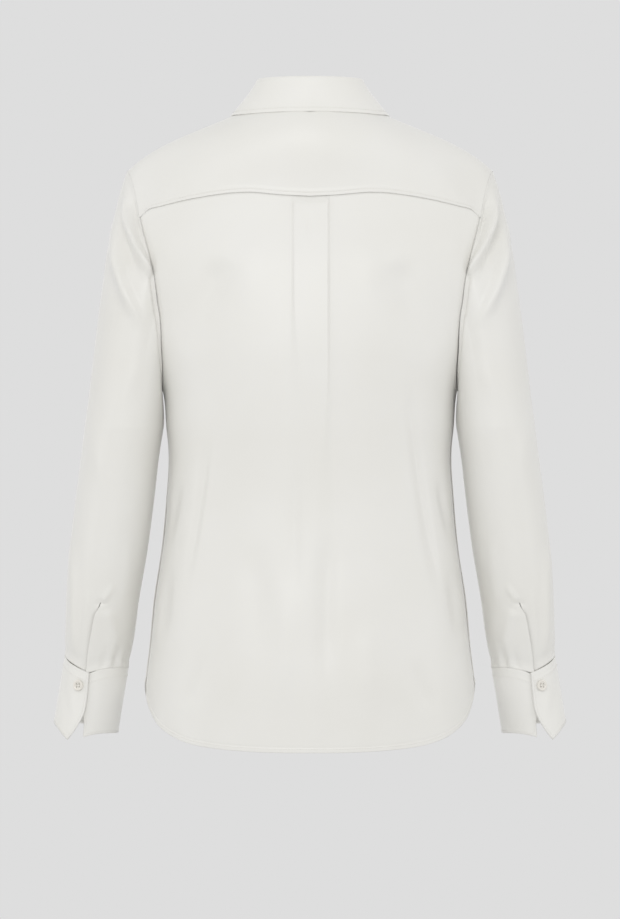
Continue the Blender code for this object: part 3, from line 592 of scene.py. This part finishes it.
def clothFinish(name, colour, roughness, weaveHeight, letsThrough):
    finish = bpy.data.materials.new(name)
    finish.use_nodes = True
    nodes, links = finish.node_tree.nodes, finish.node_tree.links
    shader = nodes["Principled BSDF"]
    shader.inputs["Metallic"].default_value = 0
    shader.inputs["Specular IOR Level"].default_value = 0.45
    shader.inputs["Sheen Weight"].default_value = 0.4
    shader.inputs["Sheen Roughness"].default_value = 0.4
    place = nodes.new("ShaderNodeTexCoord")
    tone = nodes.new("ShaderNodeTexNoise")  # slight cloudiness of the dyed cloth
    tone.inputs["Scale"].default_value = 9
    tone.inputs["Detail"].default_value = 3
    links.new(place.outputs["Object"], tone.inputs["Vector"])
    shade = nodes.new("ShaderNodeValToRGB")
    shade.color_ramp.elements[0].position = 0.3
    shade.color_ramp.elements[1].position = 0.7
    shade.color_ramp.elements[0].color = (colour[0] * 0.975, colour[1] * 0.972, colour[2] * 0.96, 1)
    shade.color_ramp.elements[1].color = (*colour, 1)
    links.new(tone.outputs["Fac"], shade.inputs["Fac"])
    links.new(shade.outputs["Color"], shader.inputs["Base Color"])
    gloss = nodes.new("ShaderNodeMapRange")
    gloss.inputs["To Min"].default_value = roughness - 0.04
    gloss.inputs["To Max"].default_value = roughness + 0.05
    links.new(tone.outputs["Fac"], gloss.inputs["Value"])
    links.new(gloss.outputs["Result"], shader.inputs["Roughness"])
    weave = nodes.new("ShaderNodeTexNoise")  # fine satin floats, long one way and short the other
    weave.inputs["Scale"].default_value = 1
    weave.inputs["Detail"].default_value = 2
    stretch = nodes.new("ShaderNodeMapping")
    stretch.inputs["Scale"].default_value = (900, 900, 2600)
    links.new(place.outputs["Object"], stretch.inputs["Vector"])
    links.new(stretch.outputs["Vector"], weave.inputs["Vector"])
    relief = nodes.new("ShaderNodeBump")
    relief.inputs["Strength"].default_value = 0.25
    relief.inputs["Distance"].default_value = weaveHeight
    links.new(weave.outputs["Fac"], relief.inputs["Height"])
    links.new(relief.outputs["Normal"], shader.inputs["Normal"])
    if letsThrough:
        through = nodes.new("ShaderNodeBsdfTranslucent")
        through.inputs["Color"].default_value = (colour[0], colour[1] * 0.97, colour[2] * 0.9, 1)
        mix = nodes.new("ShaderNodeMixShader")
        mix.inputs["Fac"].default_value = letsThrough
        links.new(shader.outputs["BSDF"], mix.inputs[1])
        links.new(through.outputs["BSDF"], mix.inputs[2])
        links.new(mix.outputs["Shader"], nodes["Material Output"].inputs["Surface"])
    return finish


silk = clothFinish("ivory silk satin", (0.85, 0.842, 0.808), 0.42, 0.00006, 0.03)
facedSilk = clothFinish("faced silk satin", (0.85, 0.842, 0.808), 0.42, 0.00006, 0)  # collar and cuffs, several layers
pearl = clothFinish("pearl", (0.83, 0.80, 0.74), 0.16, 0.00001, 0)
thread = clothFinish("silk thread", (0.80, 0.785, 0.74), 0.5, 0.00002, 0)


def meshPiece(name, corners, faces, finish):
    mesh = bpy.data.meshes.new(name)
    mesh.from_pydata(np.asarray(corners).tolist(), [], [list(face) for face in faces])
    mesh.materials.append(finish)
    mesh.shade_smooth()
    piece = bpy.data.objects.new(name, mesh)
    bpy.context.collection.objects.link(piece)
    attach(piece, "root")
    return piece


def cloth(name, grid, thickness, finish, joinedRows=0, mirror=False):
    rows, columns = grid.shape[:2]
    index = np.arange(rows * columns).reshape(rows, columns)
    index[:joinedRows, -1] = index[:joinedRows, 0]
    quads = np.stack([index[:-1, :-1], index[1:, :-1], index[1:, 1:], index[:-1, 1:]], -1).reshape(-1, 4)
    used, quads = np.unique(quads, return_inverse=True)
    quads = quads.reshape(-1, 4)
    places = grid.reshape(-1, 3)[used] * mm
    if mirror:
        places, quads = places * (-1, 1, 1), quads[:, ::-1]
    piece = meshPiece(name, places, quads, finish)
    wall = piece.modifiers.new("thickness", "SOLIDIFY")
    wall.thickness = thickness * mm
    wall.offset = -1
    wall.use_rim = True
    return piece


thread_ = {"size": 0.17, "pitch": 3.0, "length": 2.3, "proud": 0.14}


def tube(path, facing, radius, sides):
    along = unit(np.gradient(path, axis=0))
    across = unit(np.cross(along, facing))
    above = np.cross(across, along)
    angle = np.arange(sides) * 2 * math.pi / sides
    ring = across[:, None] * np.cos(angle)[None, :, None] + above[:, None] * np.sin(angle)[None, :, None]
    corners = (path[:, None] + radius * ring).reshape(-1, 3)
    faces = [(row * sides + k, row * sides + (k + 1) % sides, (row + 1) * sides + (k + 1) % sides, (row + 1) * sides + k)
             for row in range(len(path) - 1) for k in range(sides)]
    return corners, faces


def threads(name, tubes, mirror=False):  # many short lengths of thread as one piece
    corners, faces, count = [], [], 0
    for places, quads in tubes:
        corners.append(places)
        faces += [tuple(count + k for k in quad) for quad in quads]
        count += len(places)
    corners = np.concatenate(corners) * mm
    if mirror:
        corners, faces = corners * (-1, 1, 1), [quad[::-1] for quad in faces]
    return meshPiece(name, corners, faces, thread)


def edgeLine(form, edge, away, outward=1, clear=0):  # a line on the cloth at a distance from one of its edges
    facing = outward * normals(form)
    toSides = np.minimum(*fromSides(form))
    toEnds = np.minimum(fromEnd(form), fromEnd(form[::-1])[::-1])
    if edge in ("first", "last"):
        form, facing, toSides, toEnds = form.swapaxes(0, 1), facing.swapaxes(0, 1), toEnds.T, toSides.T
    if edge in ("top", "first"):
        form, facing, toSides, toEnds = form[::-1], facing[::-1], toSides[::-1], toEnds[::-1]
    up, column = fromEnd(form), np.arange(form.shape[1])
    below = np.maximum(np.argmax(up < away, axis=0), 1)
    share = (up[below - 1, column] - away) / (up[below - 1, column] - up[below, column])
    line = form[below - 1, column] + share[:, None] * (form[below, column] - form[below - 1, column])
    kept = toSides[below, column] >= clear
    return line[kept], facing[below, column][kept]


def stitches(line, facing):
    way = np.concatenate([[0], np.cumsum(np.linalg.norm(np.diff(line, axis=0), axis=1))])
    tubes = []
    for start in np.arange(0.5, way[-1] - thread_["pitch"], thread_["pitch"]):
        at = start + thread_["length"] * np.array([0, 0.2, 0.8, 1])
        path = np.stack([np.interp(at, way, line[:, k]) for k in range(3)], axis=1)
        out = unit(np.stack([np.interp(at, way, facing[:, k]) for k in range(3)], axis=1))
        path = path + out * thread_["proud"] * np.array([-1.5, 1, 1, -1.5])[:, None]
        tubes.append(tube(path, out, thread_["size"], 4))
    return tubes


# ---------------------------------------------------------------- back and yoke

print("cutting the back and yoke")
backCut = {
    "thickness": 0.45, "columns": 62, "upperRows": 40, "lowerRows": 130,
    "hemWidth": 4.6, "hemProud": 0.5,
    "folds": [  # left side first; paths run down, in x and z
        fold([(90, -148), (100, -174), (114, -212), (132, -262)], -6.4, 15, fade=(0.35, 0.6), skew=1.2),
        fold([(150, -118), (152, -150), (148, -190), (140, -225)], 1.6, 12, fade=(0.3, 0.5)),
        fold([(60, -120), (64, -160), (70, -215)], 1.0, 15, fade=(0.4, 0.5)),
        fold([(105, -334), (118, -420), (132, -505)], -1.3, 3.0, fade=(0.3, 0.4), skew=2.0),
        fold([(138, -384), (146, -420), (154, -466)], -1.6, 5, fade=(0.4, 0.5)),
        fold([(58, -450), (56, -510), (62, -580)], -1.5, 14, fade=(0.4, 0.5)),
        fold([(25, -480), (26, -560), (30, -640)], 1.5, 15, fade=(0.4, 0.4)),
        fold([(112, -560), (120, -600), (134, -632)], -1.3, 9, fade=(0.4, 0.4)),
        fold([(150, -470), (156, -520), (160, -560)], -1.8, 7, fade=(0.4, 0.4)),
        fold([(14, -330), (16, -430), (15, -520)], -0.7, 6, fade=(0.4, 0.5)),
        fold([(-92, -150), (-101, -176), (-117, -220), (-135, -270)], -7.0, 16, fade=(0.35, 0.6), skew=1.2),
        fold([(-150, -116), (-153, -150), (-149, -192), (-140, -230)], 1.5, 12, fade=(0.3, 0.5)),
        fold([(-62, -124), (-66, -166), (-70, -220)], 1.0, 15, fade=(0.4, 0.5)),
        fold([(-105, -284), (-112, -340), (-124, -420), (-141, -516)], -2.1, 3.0, fade=(0.2, 0.3), skew=2.4),
        fold([(-136, -380), (-145, -418), (-153, -460)], -1.8, 5, fade=(0.4, 0.5)),
        fold([(-19, -440), (-17, -520), (-16, -610)], -1.9, 10, fade=(0.3, 0.4)),
        fold([(-62, -530), (-64, -580), (-66, -640)], 1.5, 15, fade=(0.4, 0.4)),
        fold([(-108, -570), (-118, -606), (-130, -634)], -1.5, 9, fade=(0.4, 0.4)),
        fold([(-148, -474), (-156, -520), (-161, -560)], -1.8, 7, fade=(0.4, 0.4)),
        fold([(1, -100), (0, -125), (-1, -150)], -0.6, 3.0, fade=(0.3, 0.6)),
    ],
}
yokeCut = {
    "thickness": 0.55, "turnedWidth": 4.4, "turnedProud": 0.5,
}


def pleatLift(x, z):  # two folds that stand proud at the yoke and open out into soft waves below
    lift = 0
    for line, sign, closedTo, openTo in ((pleat["left"], 1, -190, -340), (pleat["right"], -1, -260, -470)):
        opened = ramp(-z, -closedTo, -openTo)
        wide = 1.8 + 15 * opened
        edge = 1 - ramp(sign * (x - line), -wide, 1 + wide * 0.4)
        lift = lift + edge * (1 - 0.5 * opened)
    return pleat["proud"] * (lift - 1) * ramp(seamHeight(x) - z, 0, pleat["start"])


def hemLift(grid, seed):
    up = fromEnd(grid)
    along = fromSides(grid)[0][-1]
    low = 1 - ramp(up, 0, 26)
    return (backCut["hemProud"] * (1 - ramp(up, backCut["hemWidth"] - 0.6, backCut["hemWidth"] + 0.6))
            - 0.25 * bump(up, backCut["hemWidth"] + 1.1, 0.8) + wavering(along, seed, 0.5, 60) * low)


def seamDip(grid, depth, swell):  # cloth dips at a side seam and swells next to it
    near = np.minimum(*fromSides(grid))
    return swell * bump(near, 7, 4) - depth * bump(near, 0, 1.3)


backForm = backGrid(backCut["columns"], backCut["upperRows"], backCut["lowerRows"])
backLift = foldLift(backForm, backCut["folds"]) * ramp(np.minimum(*fromSides(backForm)), 0, 9)
backLift = backLift * (1 + 0.9 * ramp(-backForm[..., 2], 290, 400))
backLift = backLift + pleatLift(backForm[..., 0], backForm[..., 2]) + hemLift(backForm, 3)
backForm = raised(backForm, backLift + seamDip(backForm, 0.2, 0.5))
backPiece = cloth("back", backForm, backCut["thickness"], silk)
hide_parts("back_panel")
backStitches = threads("backStitches", stitches(*edgeLine(backForm, "bottom", backCut["hemWidth"] - 0.7)))

yokeRows = np.concatenate([np.linspace(0, 0.86, 50)[:-1], np.linspace(0.86, 1, 31)])
yokeSheet = refinedRows(yokeGrid((32, 8, 5), 16), yokeRows)
up = fromEnd(yokeSheet)
onSeam = 1 - ramp(np.abs(yokeSheet[-1, :, 0]), shape["backCorner"][0] - 1, shape["backCorner"][0] + 4)
onSeam = onSeam * (yokeSheet[-1, :, 1] > 20)
yokeForm = raised(yokeSheet, onSeam * (
    yokeCut["turnedProud"] * (1 - ramp(up, yokeCut["turnedWidth"], yokeCut["turnedWidth"] + 4))
    - 0.2 * bump(up, yokeCut["turnedWidth"] - 0.6, 0.6)))
yokePiece = cloth("yoke", yokeForm, yokeCut["thickness"], silk)
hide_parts("back_yoke")
line, facing = edgeLine(yokeForm, "bottom", yokeCut["turnedWidth"] - 0.9)
sewn = (np.abs(line[:, 0]) < shape["backCorner"][0] - 3) & (line[:, 1] > 20)
yokeStitches = threads("yokeStitches", stitches(line[sewn], facing[sewn]))

# ---------------------------------------------------------------- fronts

print("cutting the fronts")
frontCut = {
    "thickness": 0.45, "columns": 100, "upperRows": 60, "curveRows": 30, "lowerRows": 100,
    "edgeStitch": 2, "bandStitch": 26, "foldDepth": 1.7,
    "leftFolds": [
        fold([(158, -210), (128, -262), (98, -330), (84, -400)], -2.2, 8, fade=(0.3, 0.5), skew=1.5),
        fold([(160, -180), (130, -215), (104, -236)], -1.6, 6, fade=(0.3, 0.5)),
        fold([(92, -420), (98, -500), (104, -600)], -1.8, 12, fade=(0.4, 0.4)),
        fold([(60, -330), (58, -430), (64, -560), (66, -640)], 1.6, 13, fade=(0.4, 0.3)),
        fold([(132, -360), (142, -430), (150, -520)], -1.6, 8, fade=(0.4, 0.4)),
        fold([(96, -120), (102, -160), (108, -200)], -1.2, 10, fade=(0.4, 0.5)),
    ],
    "rightFolds": [
        fold([(159, -216), (132, -256), (106, -310), (90, -372)], -2.4, 7, fade=(0.3, 0.5), skew=1.6),
        fold([(160, -186), (134, -224), (112, -250)], -1.4, 6, fade=(0.3, 0.5)),
        fold([(84, -400), (90, -480), (94, -590)], -1.6, 13, fade=(0.4, 0.4)),
        fold([(54, -360), (52, -450), (56, -620)], 1.5, 14, fade=(0.4, 0.3)),
        fold([(128, -380), (140, -450), (148, -540)], -1.8, 8, fade=(0.4, 0.4)),
        fold([(92, -116), (98, -150), (106, -206)], -1.3, 9, fade=(0.4, 0.5)),
    ],
}
frontSheet = frontGrid(frontCut["columns"], frontCut["upperRows"], frontCut["curveRows"], frontCut["lowerRows"])


def frontPiece(name, sheet, folds, seed, mirror):
    lift = frontCut["foldDepth"] * foldLift(sheet, folds)
    lift = lift * ramp(sheet[..., 0], fronts["fade"] - 6, fronts["fade"] + 14)
    toSide = fromSides(sheet)[1]
    lift = lift * ramp(toSide, 0, 9) + hemLift(sheet, seed) + 0.5 * bump(toSide, 7, 4) - 0.2 * bump(toSide, 0, 1.3)
    form = raised(sheet, lift)
    piece = cloth(name, form, frontCut["thickness"], silk, mirror=mirror)
    lines = [stitches(*edgeLine(form, edge, away, clear=2)) for edge, away in (
        ("bottom", backCut["hemWidth"] - 0.7), ("first", frontCut["edgeStitch"]), ("first", frontCut["bandStitch"]))]
    return piece, threads(name + "Stitches", sum(lines, []), mirror)


upperFront = lap(frontSheet)
leftPiece, leftStitches = frontPiece("leftFront", frontSheet, frontCut["leftFolds"], 5, False)
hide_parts("front_left")
rightPiece, rightStitches = frontPiece("rightFront", upperFront, frontCut["rightFolds"], 7, True)
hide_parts("front_right")

# ---------------------------------------------------------------- collar

print("making the collar")
collar = {
    "thickness": 0.9, "edgeStitch": 5,
    "aboveCloth": 1.05,  # of the fall's outer side over what it lies on
}


def laidOn(grid, others, gap, share):  # brings the last rows down until the edge lies on the cloth below
    corners, faces = [], []
    for other in others:
        rows, columns = other.shape[:2]
        index = len(corners) + np.arange(rows * columns).reshape(rows, columns)
        faces += np.stack([index[:-1, :-1], index[1:, :-1], index[1:, 1:], index[:-1, 1:]], -1).reshape(-1, 4).tolist()
        corners += other.reshape(-1, 3).tolist()
    tree = BVHTree.FromPolygons(corners, faces)
    moved = []
    for place in grid[-1]:
        spot, normal, _, _ = tree.find_nearest(Vector(place))
        away = Vector(place) - spot
        normal = normal if normal.dot(away) > 0 else -normal
        moved.append(np.array(spot + normal * gap) - place)
    moved = np.array(moved)
    for _ in range(30):
        moved[1:-1] = (moved[:-2] + 2 * moved[1:-1] + moved[2:]) / 4
    weight = ramp(np.linspace(0, 1, len(grid)), 1 - share, 1)[:, None, None]
    return grid + weight * moved


standForm = standGrid(200, 12)
standPiece = cloth("collarStand", standForm, collar["thickness"], facedSilk)
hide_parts("collar_stand")
fallForm = laidOn(fallGrid(240, 70), (yokeForm, frontSheet, upperFront * (-1, 1, 1)), collar["aboveCloth"], 0.75)
fallEdge = np.minimum(fromEnd(fallForm), np.minimum(*fromSides(fallForm)))
fallForm = raised(fallForm, 0.15 * bump(fallEdge, collar["edgeStitch"] * 0.5, 2) - 0.22 * bump(fallEdge, collar["edgeStitch"], 0.9)
                  - 0.25 * bump(fallEdge, 0, 0.7))
fallPiece = cloth("collarFall", fallForm, collar["thickness"], facedSilk)
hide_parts("collar_fall")
collarStitches = threads("collarStitches", sum([
    stitches(*edgeLine(fallForm, edge, collar["edgeStitch"], clear=collar["edgeStitch"] if edge == "bottom" else 4))
    for edge in ("bottom", "first", "last")], []))

# ---------------------------------------------------------------- sleeves and cuffs

print("setting in the sleeves")
sleeveCut = {
    "thickness": 0.45,
    "backFolds": [
        fold([(190, -84), (184, -106), (175, -134)], 2.8, 4.5, fade=(0.3, 0.4)),
        fold([(196, -78), (195, -100), (186, -130), (177, -148), (164, -170)], -11.5, 3.5, fade=(0.4, 0.1), skew=1.6),
        fold([(201, -82), (199, -118), (191, -148), (176, -182)], 5.0, 5.0, fade=(0.2, 0.35)),
        fold([(207, -104), (205, -140), (199, -168), (189, -198), (178, -226)], -10.5, 4.3, fade=(0.4, 0.4), skew=1.8),
        fold([(216, -116), (213, -166), (203, -215)], 2.6, 8, fade=(0.35, 0.5)),
        fold([(172, -250), (196, -290), (222, -350)], -1.5, 10, fade=(0.4, 0.5)),
        fold([(236, -300), (226, -360), (210, -420)], -1.4, 9, fade=(0.4, 0.5)),
        fold([(253, -440), (252, -500), (251, -575)], -3.0, 4.6, fade=(0.4, 0.2)),
        fold([(190, -440), (196, -490), (202, -530)], -1.5, 7, fade=(0.4, 0.4)),
        fold([(206, -495), (214, -506), (221, -516)], -1.8, 3.2, fade=(0.5, 0.1)),
        fold([(216, -522), (210, -545), (206, -572)], -2.4, 7, fade=(0.2, 0.3)),
        fold([(233, -500), (238, -530), (242, -570)], -1.2, 4, fade=(0.3, 0.3)),
        fold([(214, -517), (222.6, -516.5), (231, -518)], 1.4, 2.2, fade=(0.4, 0.4)),
    ],
    "frontFolds": [
        fold([(200, -96), (196, -130), (184, -170), (168, -196)], -3.4, 5, fade=(0.25, 0.35)),
        fold([(212, -130), (208, -180), (192, -226)], -2.8, 6, fade=(0.3, 0.5)),
        fold([(172, -300), (196, -340), (230, -380)], -2.6, 9, fade=(0.3, 0.5)),
        fold([(180, -350), (206, -386), (240, -410)], -2.2, 7, fade=(0.3, 0.4)),
        fold([(190, -430), (210, -455), (244, -470)], -1.6, 8, fade=(0.3, 0.4)),
        fold([(200, -500), (206, -540), (210, -575)], -2.0, 6, fade=(0.3, 0.3)),
        fold([(244, -480), (246, -530), (246, -575)], -1.8, 6, fade=(0.3, 0.3)),
    ],
    "gatherHeight": 26, "gatherSize": 1.3, "lipOver": 3.4, "lipProud": 1.0,
}
sheet, joined = sleeveGrid(86, 56, 58)
across = np.concatenate([np.linspace(start, end, count)[:-1] for start, end, count in (
    (0, 0.06, 20), (0.06, 0.16, 26), (0.16, 0.78, 66), (0.78, 0.94, 40), (0.94, 1, 20))] + [[1]])
sheet = refinedColumns(sheet, across)
around = fromSides(sheet)
isBack = ramp(sheet[..., 1] - table(sleeve["rings"], np.minimum(sheet[..., 2], sleeve["top"]), 3), -14, 10)
down = fromEnd(sheet[::-1])[::-1]
tipAway = np.linalg.norm(sheet - np.array(shape["shoulderTip"]), axis=-1)
lift = foldLift(sheet, sleeveCut["backFolds"]) * isBack + foldLift(sheet, sleeveCut["frontFolds"]) * (1 - isBack)
lift = lift * ramp(down, 0, 7)
up = fromEnd(sheet)
gather = wavering(around[0][-1], 11, 1, 17) * bump(up, 5, sleeveCut["gatherHeight"] * 0.6)
lift = lift + sleeveCut["gatherSize"] * (gather + 0.8 * bump(up, 8, 7)) * ramp(up, 0, 3)
open_ = np.concatenate([np.zeros(joined), ramp(np.linspace(0, 1, len(sheet) - joined), 0, 0.18)])[:, None]
lift = lift + open_ * sleeveCut["lipProud"] * (bump(around[1], 0, 3.4) - bump(around[0], 0, 7))
swell = 0.9 + 1.5 * ramp(-sheet[..., 2], 115, 170) * isBack
lift = lift + ramp(tipAway, 4, 24) * (swell * bump(down, 6.5, 4.5) - 0.25 * bump(down, 0, 1.3))
sleeveForm = raised(sheet, lift, -1)
sleeveForm[..., 0] += (open_ * (sleeveCut["lipOver"] * bump(around[0], 0, 6) + 1.0 * bump(around[1], 0, 5)))

cuffForm = cuffGrid(170, 48)
cuffEdge = np.minimum(fromEnd(cuffForm), np.minimum(*fromSides(cuffForm)))
fromTop = fromEnd(cuffForm[::-1])[::-1]
cuffForm = raised(cuffForm, -(-0.3 * bump(cuffEdge, 2.6, 0.9) - 0.3 * bump(cuffEdge, 0, 0.7)
                              - 0.3 * bump(fromTop, 9.6, 0.9) + 0.15 * bump(fromTop, 5, 3)))
cuffLines = [edgeLine(cuffForm, "bottom", 2.6, -1, 2.6), edgeLine(cuffForm, "first", 2.6, -1, 2.6),
             edgeLine(cuffForm, "last", 2.6, -1, 2.6), edgeLine(cuffForm, "top", 9.6, -1, 2.6)]
cuffTubes = sum([stitches(*line) for line in cuffLines], [])
for side, flip in (("left", False), ("right", True)):
    sleevePiece = cloth(side + "Sleeve", sleeveForm, sleeveCut["thickness"], silk, joinedRows=joined, mirror=flip)
    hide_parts("sleeve_" + side)
    cuffPiece = cloth(side + "Cuff", cuffForm, 1.2, facedSilk, mirror=flip)
    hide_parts("cuff_" + side)
    cuffStitches = threads(side + "CuffStitches", cuffTubes, flip)

# ---------------------------------------------------------------- buttons

print("sewing on the buttons")
buttonCut = {
    "sides": 48, "holeRadius": 0.85, "holeAway": 1.45, "threadRadius": 0.3,
    "profile": (  # share of the radius, share of the thickness: dish, rim and back
        (0.46, 0.5), (0.56, 0.58), (0.68, 0.9), (0.8, 1.0), (0.92, 0.92), (1, 0.64), (0.98, 0.32), (0.86, 0.06), (0.7, 0),
    ),
    "holeLength": 13.5, "holeWidth": 1.7,  # of the buttonhole worked in the cloth
}


def drilledButton(radius, thickness):  # lies flat, its back at height 0
    sides, rings = buttonCut["sides"], buttonCut["profile"]
    angle = np.arange(sides) * 2 * math.pi / sides
    corners = np.concatenate([np.stack([out * radius * np.cos(angle), out * radius * np.sin(angle),
                                        0 * angle + high * thickness], axis=1) for out, high in rings])
    faces = [(ring * sides + k, (ring + 1) * sides + k, (ring + 1) * sides + (k + 1) % sides, ring * sides + (k + 1) % sides)
             for ring in range(len(rings) - 1) for k in range(sides)]
    faces += [tuple(range(sides)), tuple(len(corners) - 1 - k for k in range(sides))]
    mesh = bpy.data.meshes.new("button")
    mesh.from_pydata(corners.tolist(), [], faces)
    blank = bpy.data.objects.new("button", mesh)
    bpy.context.collection.objects.link(blank)
    drills = []
    for x in (-1, 1):
        for y in (-1, 1):
            away = buttonCut["holeAway"]
            bpy.ops.mesh.primitive_cylinder_add(vertices=20, radius=buttonCut["holeRadius"], depth=4 * thickness,
                                                location=(x * away, y * away, 0))
            drills.append(bpy.context.object)
            cut = blank.modifiers.new("hole", "BOOLEAN")
            cut.operation, cut.solver, cut.object = "DIFFERENCE", "EXACT", drills[-1]
    bpy.context.view_layer.update()
    drilled = bpy.data.meshes.new_from_object(blank.evaluated_get(bpy.context.evaluated_depsgraph_get()))
    corners = np.array([corner.co for corner in drilled.vertices])
    faces = [tuple(face.vertices) for face in drilled.polygons]
    for helper in [blank, *drills]:
        bpy.data.objects.remove(helper)
    return corners, faces


def buttonSeat(node):  # where the button lies, its outward direction, radius and thickness
    corners = np.array([node.matrix_world @ corner.co for corner in node.data.vertices]) / mm
    centre = (corners.min(axis=0) + corners.max(axis=0)) / 2
    out = np.linalg.svd(corners - corners.mean(axis=0), full_matrices=False)[2][2]
    inside = np.array([0, 0, centre[2]])
    if abs(centre[0]) > 200:
        ring = sleeve["rings"][-2]
        inside = np.array([math.copysign((ring[1] + ring[2]) / 2, centre[0]), ring[3], centre[2]])
    out = out if out @ (centre - inside) > 0 else -out
    high = (corners - centre) @ out
    radius = np.linalg.norm(corners - centre - high[:, None] * out, axis=1).max()
    return centre + out * high.min(), out, radius, high.max() - high.min()


buttons, sewnThreads = {}, []
drilledShapes = {}
for name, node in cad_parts.items():
    if not name.startswith("button"):
        continue
    seat, out, radius, thickness = buttonSeat(node)
    size = (round(radius, 1), round(thickness, 1))
    if size not in drilledShapes:
        drilledShapes[size] = drilledButton(*size)
    corners, faces = drilledShapes[size]
    across = unit(np.cross((0, 0, 1), out))
    frameOfButton = np.array([across, np.cross(out, across), out])
    words = name.split("_")
    piece = meshPiece(words[0] + "".join(word.capitalize() for word in words[1:]),
                      (seat + corners @ frameOfButton) * mm, faces, pearl)
    piece.data.set_sharp_from_angle(angle=math.radians(38))
    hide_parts(name)
    away, top = buttonCut["holeAway"], 0.62 * thickness
    for x in (-away, away):
        path = np.array([(x, -away, 0), (x, -away * 0.94, top), (x, 0, top + 0.25), (x, away * 0.94, top), (x, away, 0)])
        sewnThreads.append(tube(seat + path @ frameOfButton, np.tile(across, (5, 1)), buttonCut["threadRadius"], 6))
    turn = np.linspace(0, 2 * math.pi, 49)
    loop = np.stack([buttonCut["holeWidth"] / 2 * np.sign(np.cos(turn)) * np.abs(np.cos(turn)) ** 0.5,
                     buttonCut["holeLength"] / 2 * np.sin(turn), 0 * turn + 0.02], axis=1)
    if name.startswith("button_front"):
        sewnThreads.append(tube(seat + loop @ frameOfButton, np.tile(out, (49, 1)), 0.3, 6))
threads("buttonThreads", sewnThreads)

# ---------------------------------------------------------------- studio

print("setting up the studio")
studio = {
    "ground": 0.73, "groundDrop": 0.16, "tentLight": 1.08,
    "cameraAway": 12, "cameraHeight": -0.364, "frameHeight": 0.974, "sharpAt": 0.06,
}


def glowing(name, value):
    finish = bpy.data.materials.new(name)
    finish.use_nodes = True
    nodes, links = finish.node_tree.nodes, finish.node_tree.links
    nodes.remove(nodes["Principled BSDF"])
    glow = nodes.new("ShaderNodeEmission")
    glow.inputs["Color"].default_value = (value, value, value, 1)
    links.new(glow.outputs["Emission"], nodes["Material Output"].inputs["Surface"])
    return finish


lowest = cadBox[0][2]
bpy.ops.mesh.primitive_plane_add(size=30, location=(0, 0, lowest - studio["groundDrop"]))
floor = bpy.context.object
floor.name = "floor"
floor.data.materials.append(glowing("pale floor", studio["ground"]))

world = bpy.data.worlds.new("studio")
bpy.context.scene.world = world
world.use_nodes = True
nodes, links = world.node_tree.nodes, world.node_tree.links
nodes["Background"].inputs["Color"].default_value = (studio["ground"],) * 3 + (1,)
seen = nodes.new("ShaderNodeLightPath")
level = nodes.new("ShaderNodeMapRange")  # the tent of light is stronger than the backdrop looks
level.inputs["To Min"].default_value = studio["tentLight"]
level.inputs["To Max"].default_value = 1
links.new(seen.outputs["Is Camera Ray"], level.inputs["Value"])
links.new(level.outputs["Result"], nodes["Background"].inputs["Strength"])


def softLamp(name, place, target, size, power):
    lamp = bpy.data.lights.new(name, "AREA")
    lamp.size = size
    lamp.energy = power
    holder = bpy.data.objects.new(name, lamp)
    holder.location = place
    holder.rotation_euler = (Vector(target) - Vector(place)).to_track_quat("-Z", "Y").to_euler()
    bpy.context.collection.objects.link(holder)


softLamp("above", (0.25, 2.9, 0.9), (0, 0, -0.15), 1.0, 19)
softLamp("front", (0.1, -2.8, -0.3), (0, 0, -0.3), 0.8, 3.5)
softLamp("leftSide", (2.2, 0.9, -0.5), (0.15, 0, -0.35), 0.8, 3)
softLamp("rightSide", (-2.2, 0.9, -0.5), (-0.15, 0, -0.35), 0.8, 3)

camera = bpy.data.cameras.new("camera")
camera.lens = 36 * (studio["cameraAway"] - studio["sharpAt"]) / studio["frameHeight"]
camera.sensor_width = 36
holder = bpy.data.objects.new("camera", camera)
holder.location = (0, studio["cameraAway"], studio["cameraHeight"])
holder.rotation_euler = (math.pi / 2, 0, math.pi)
bpy.context.collection.objects.link(holder)
bpy.context.scene.camera = holder
bpy.context.scene.view_settings.view_transform = "Standard"
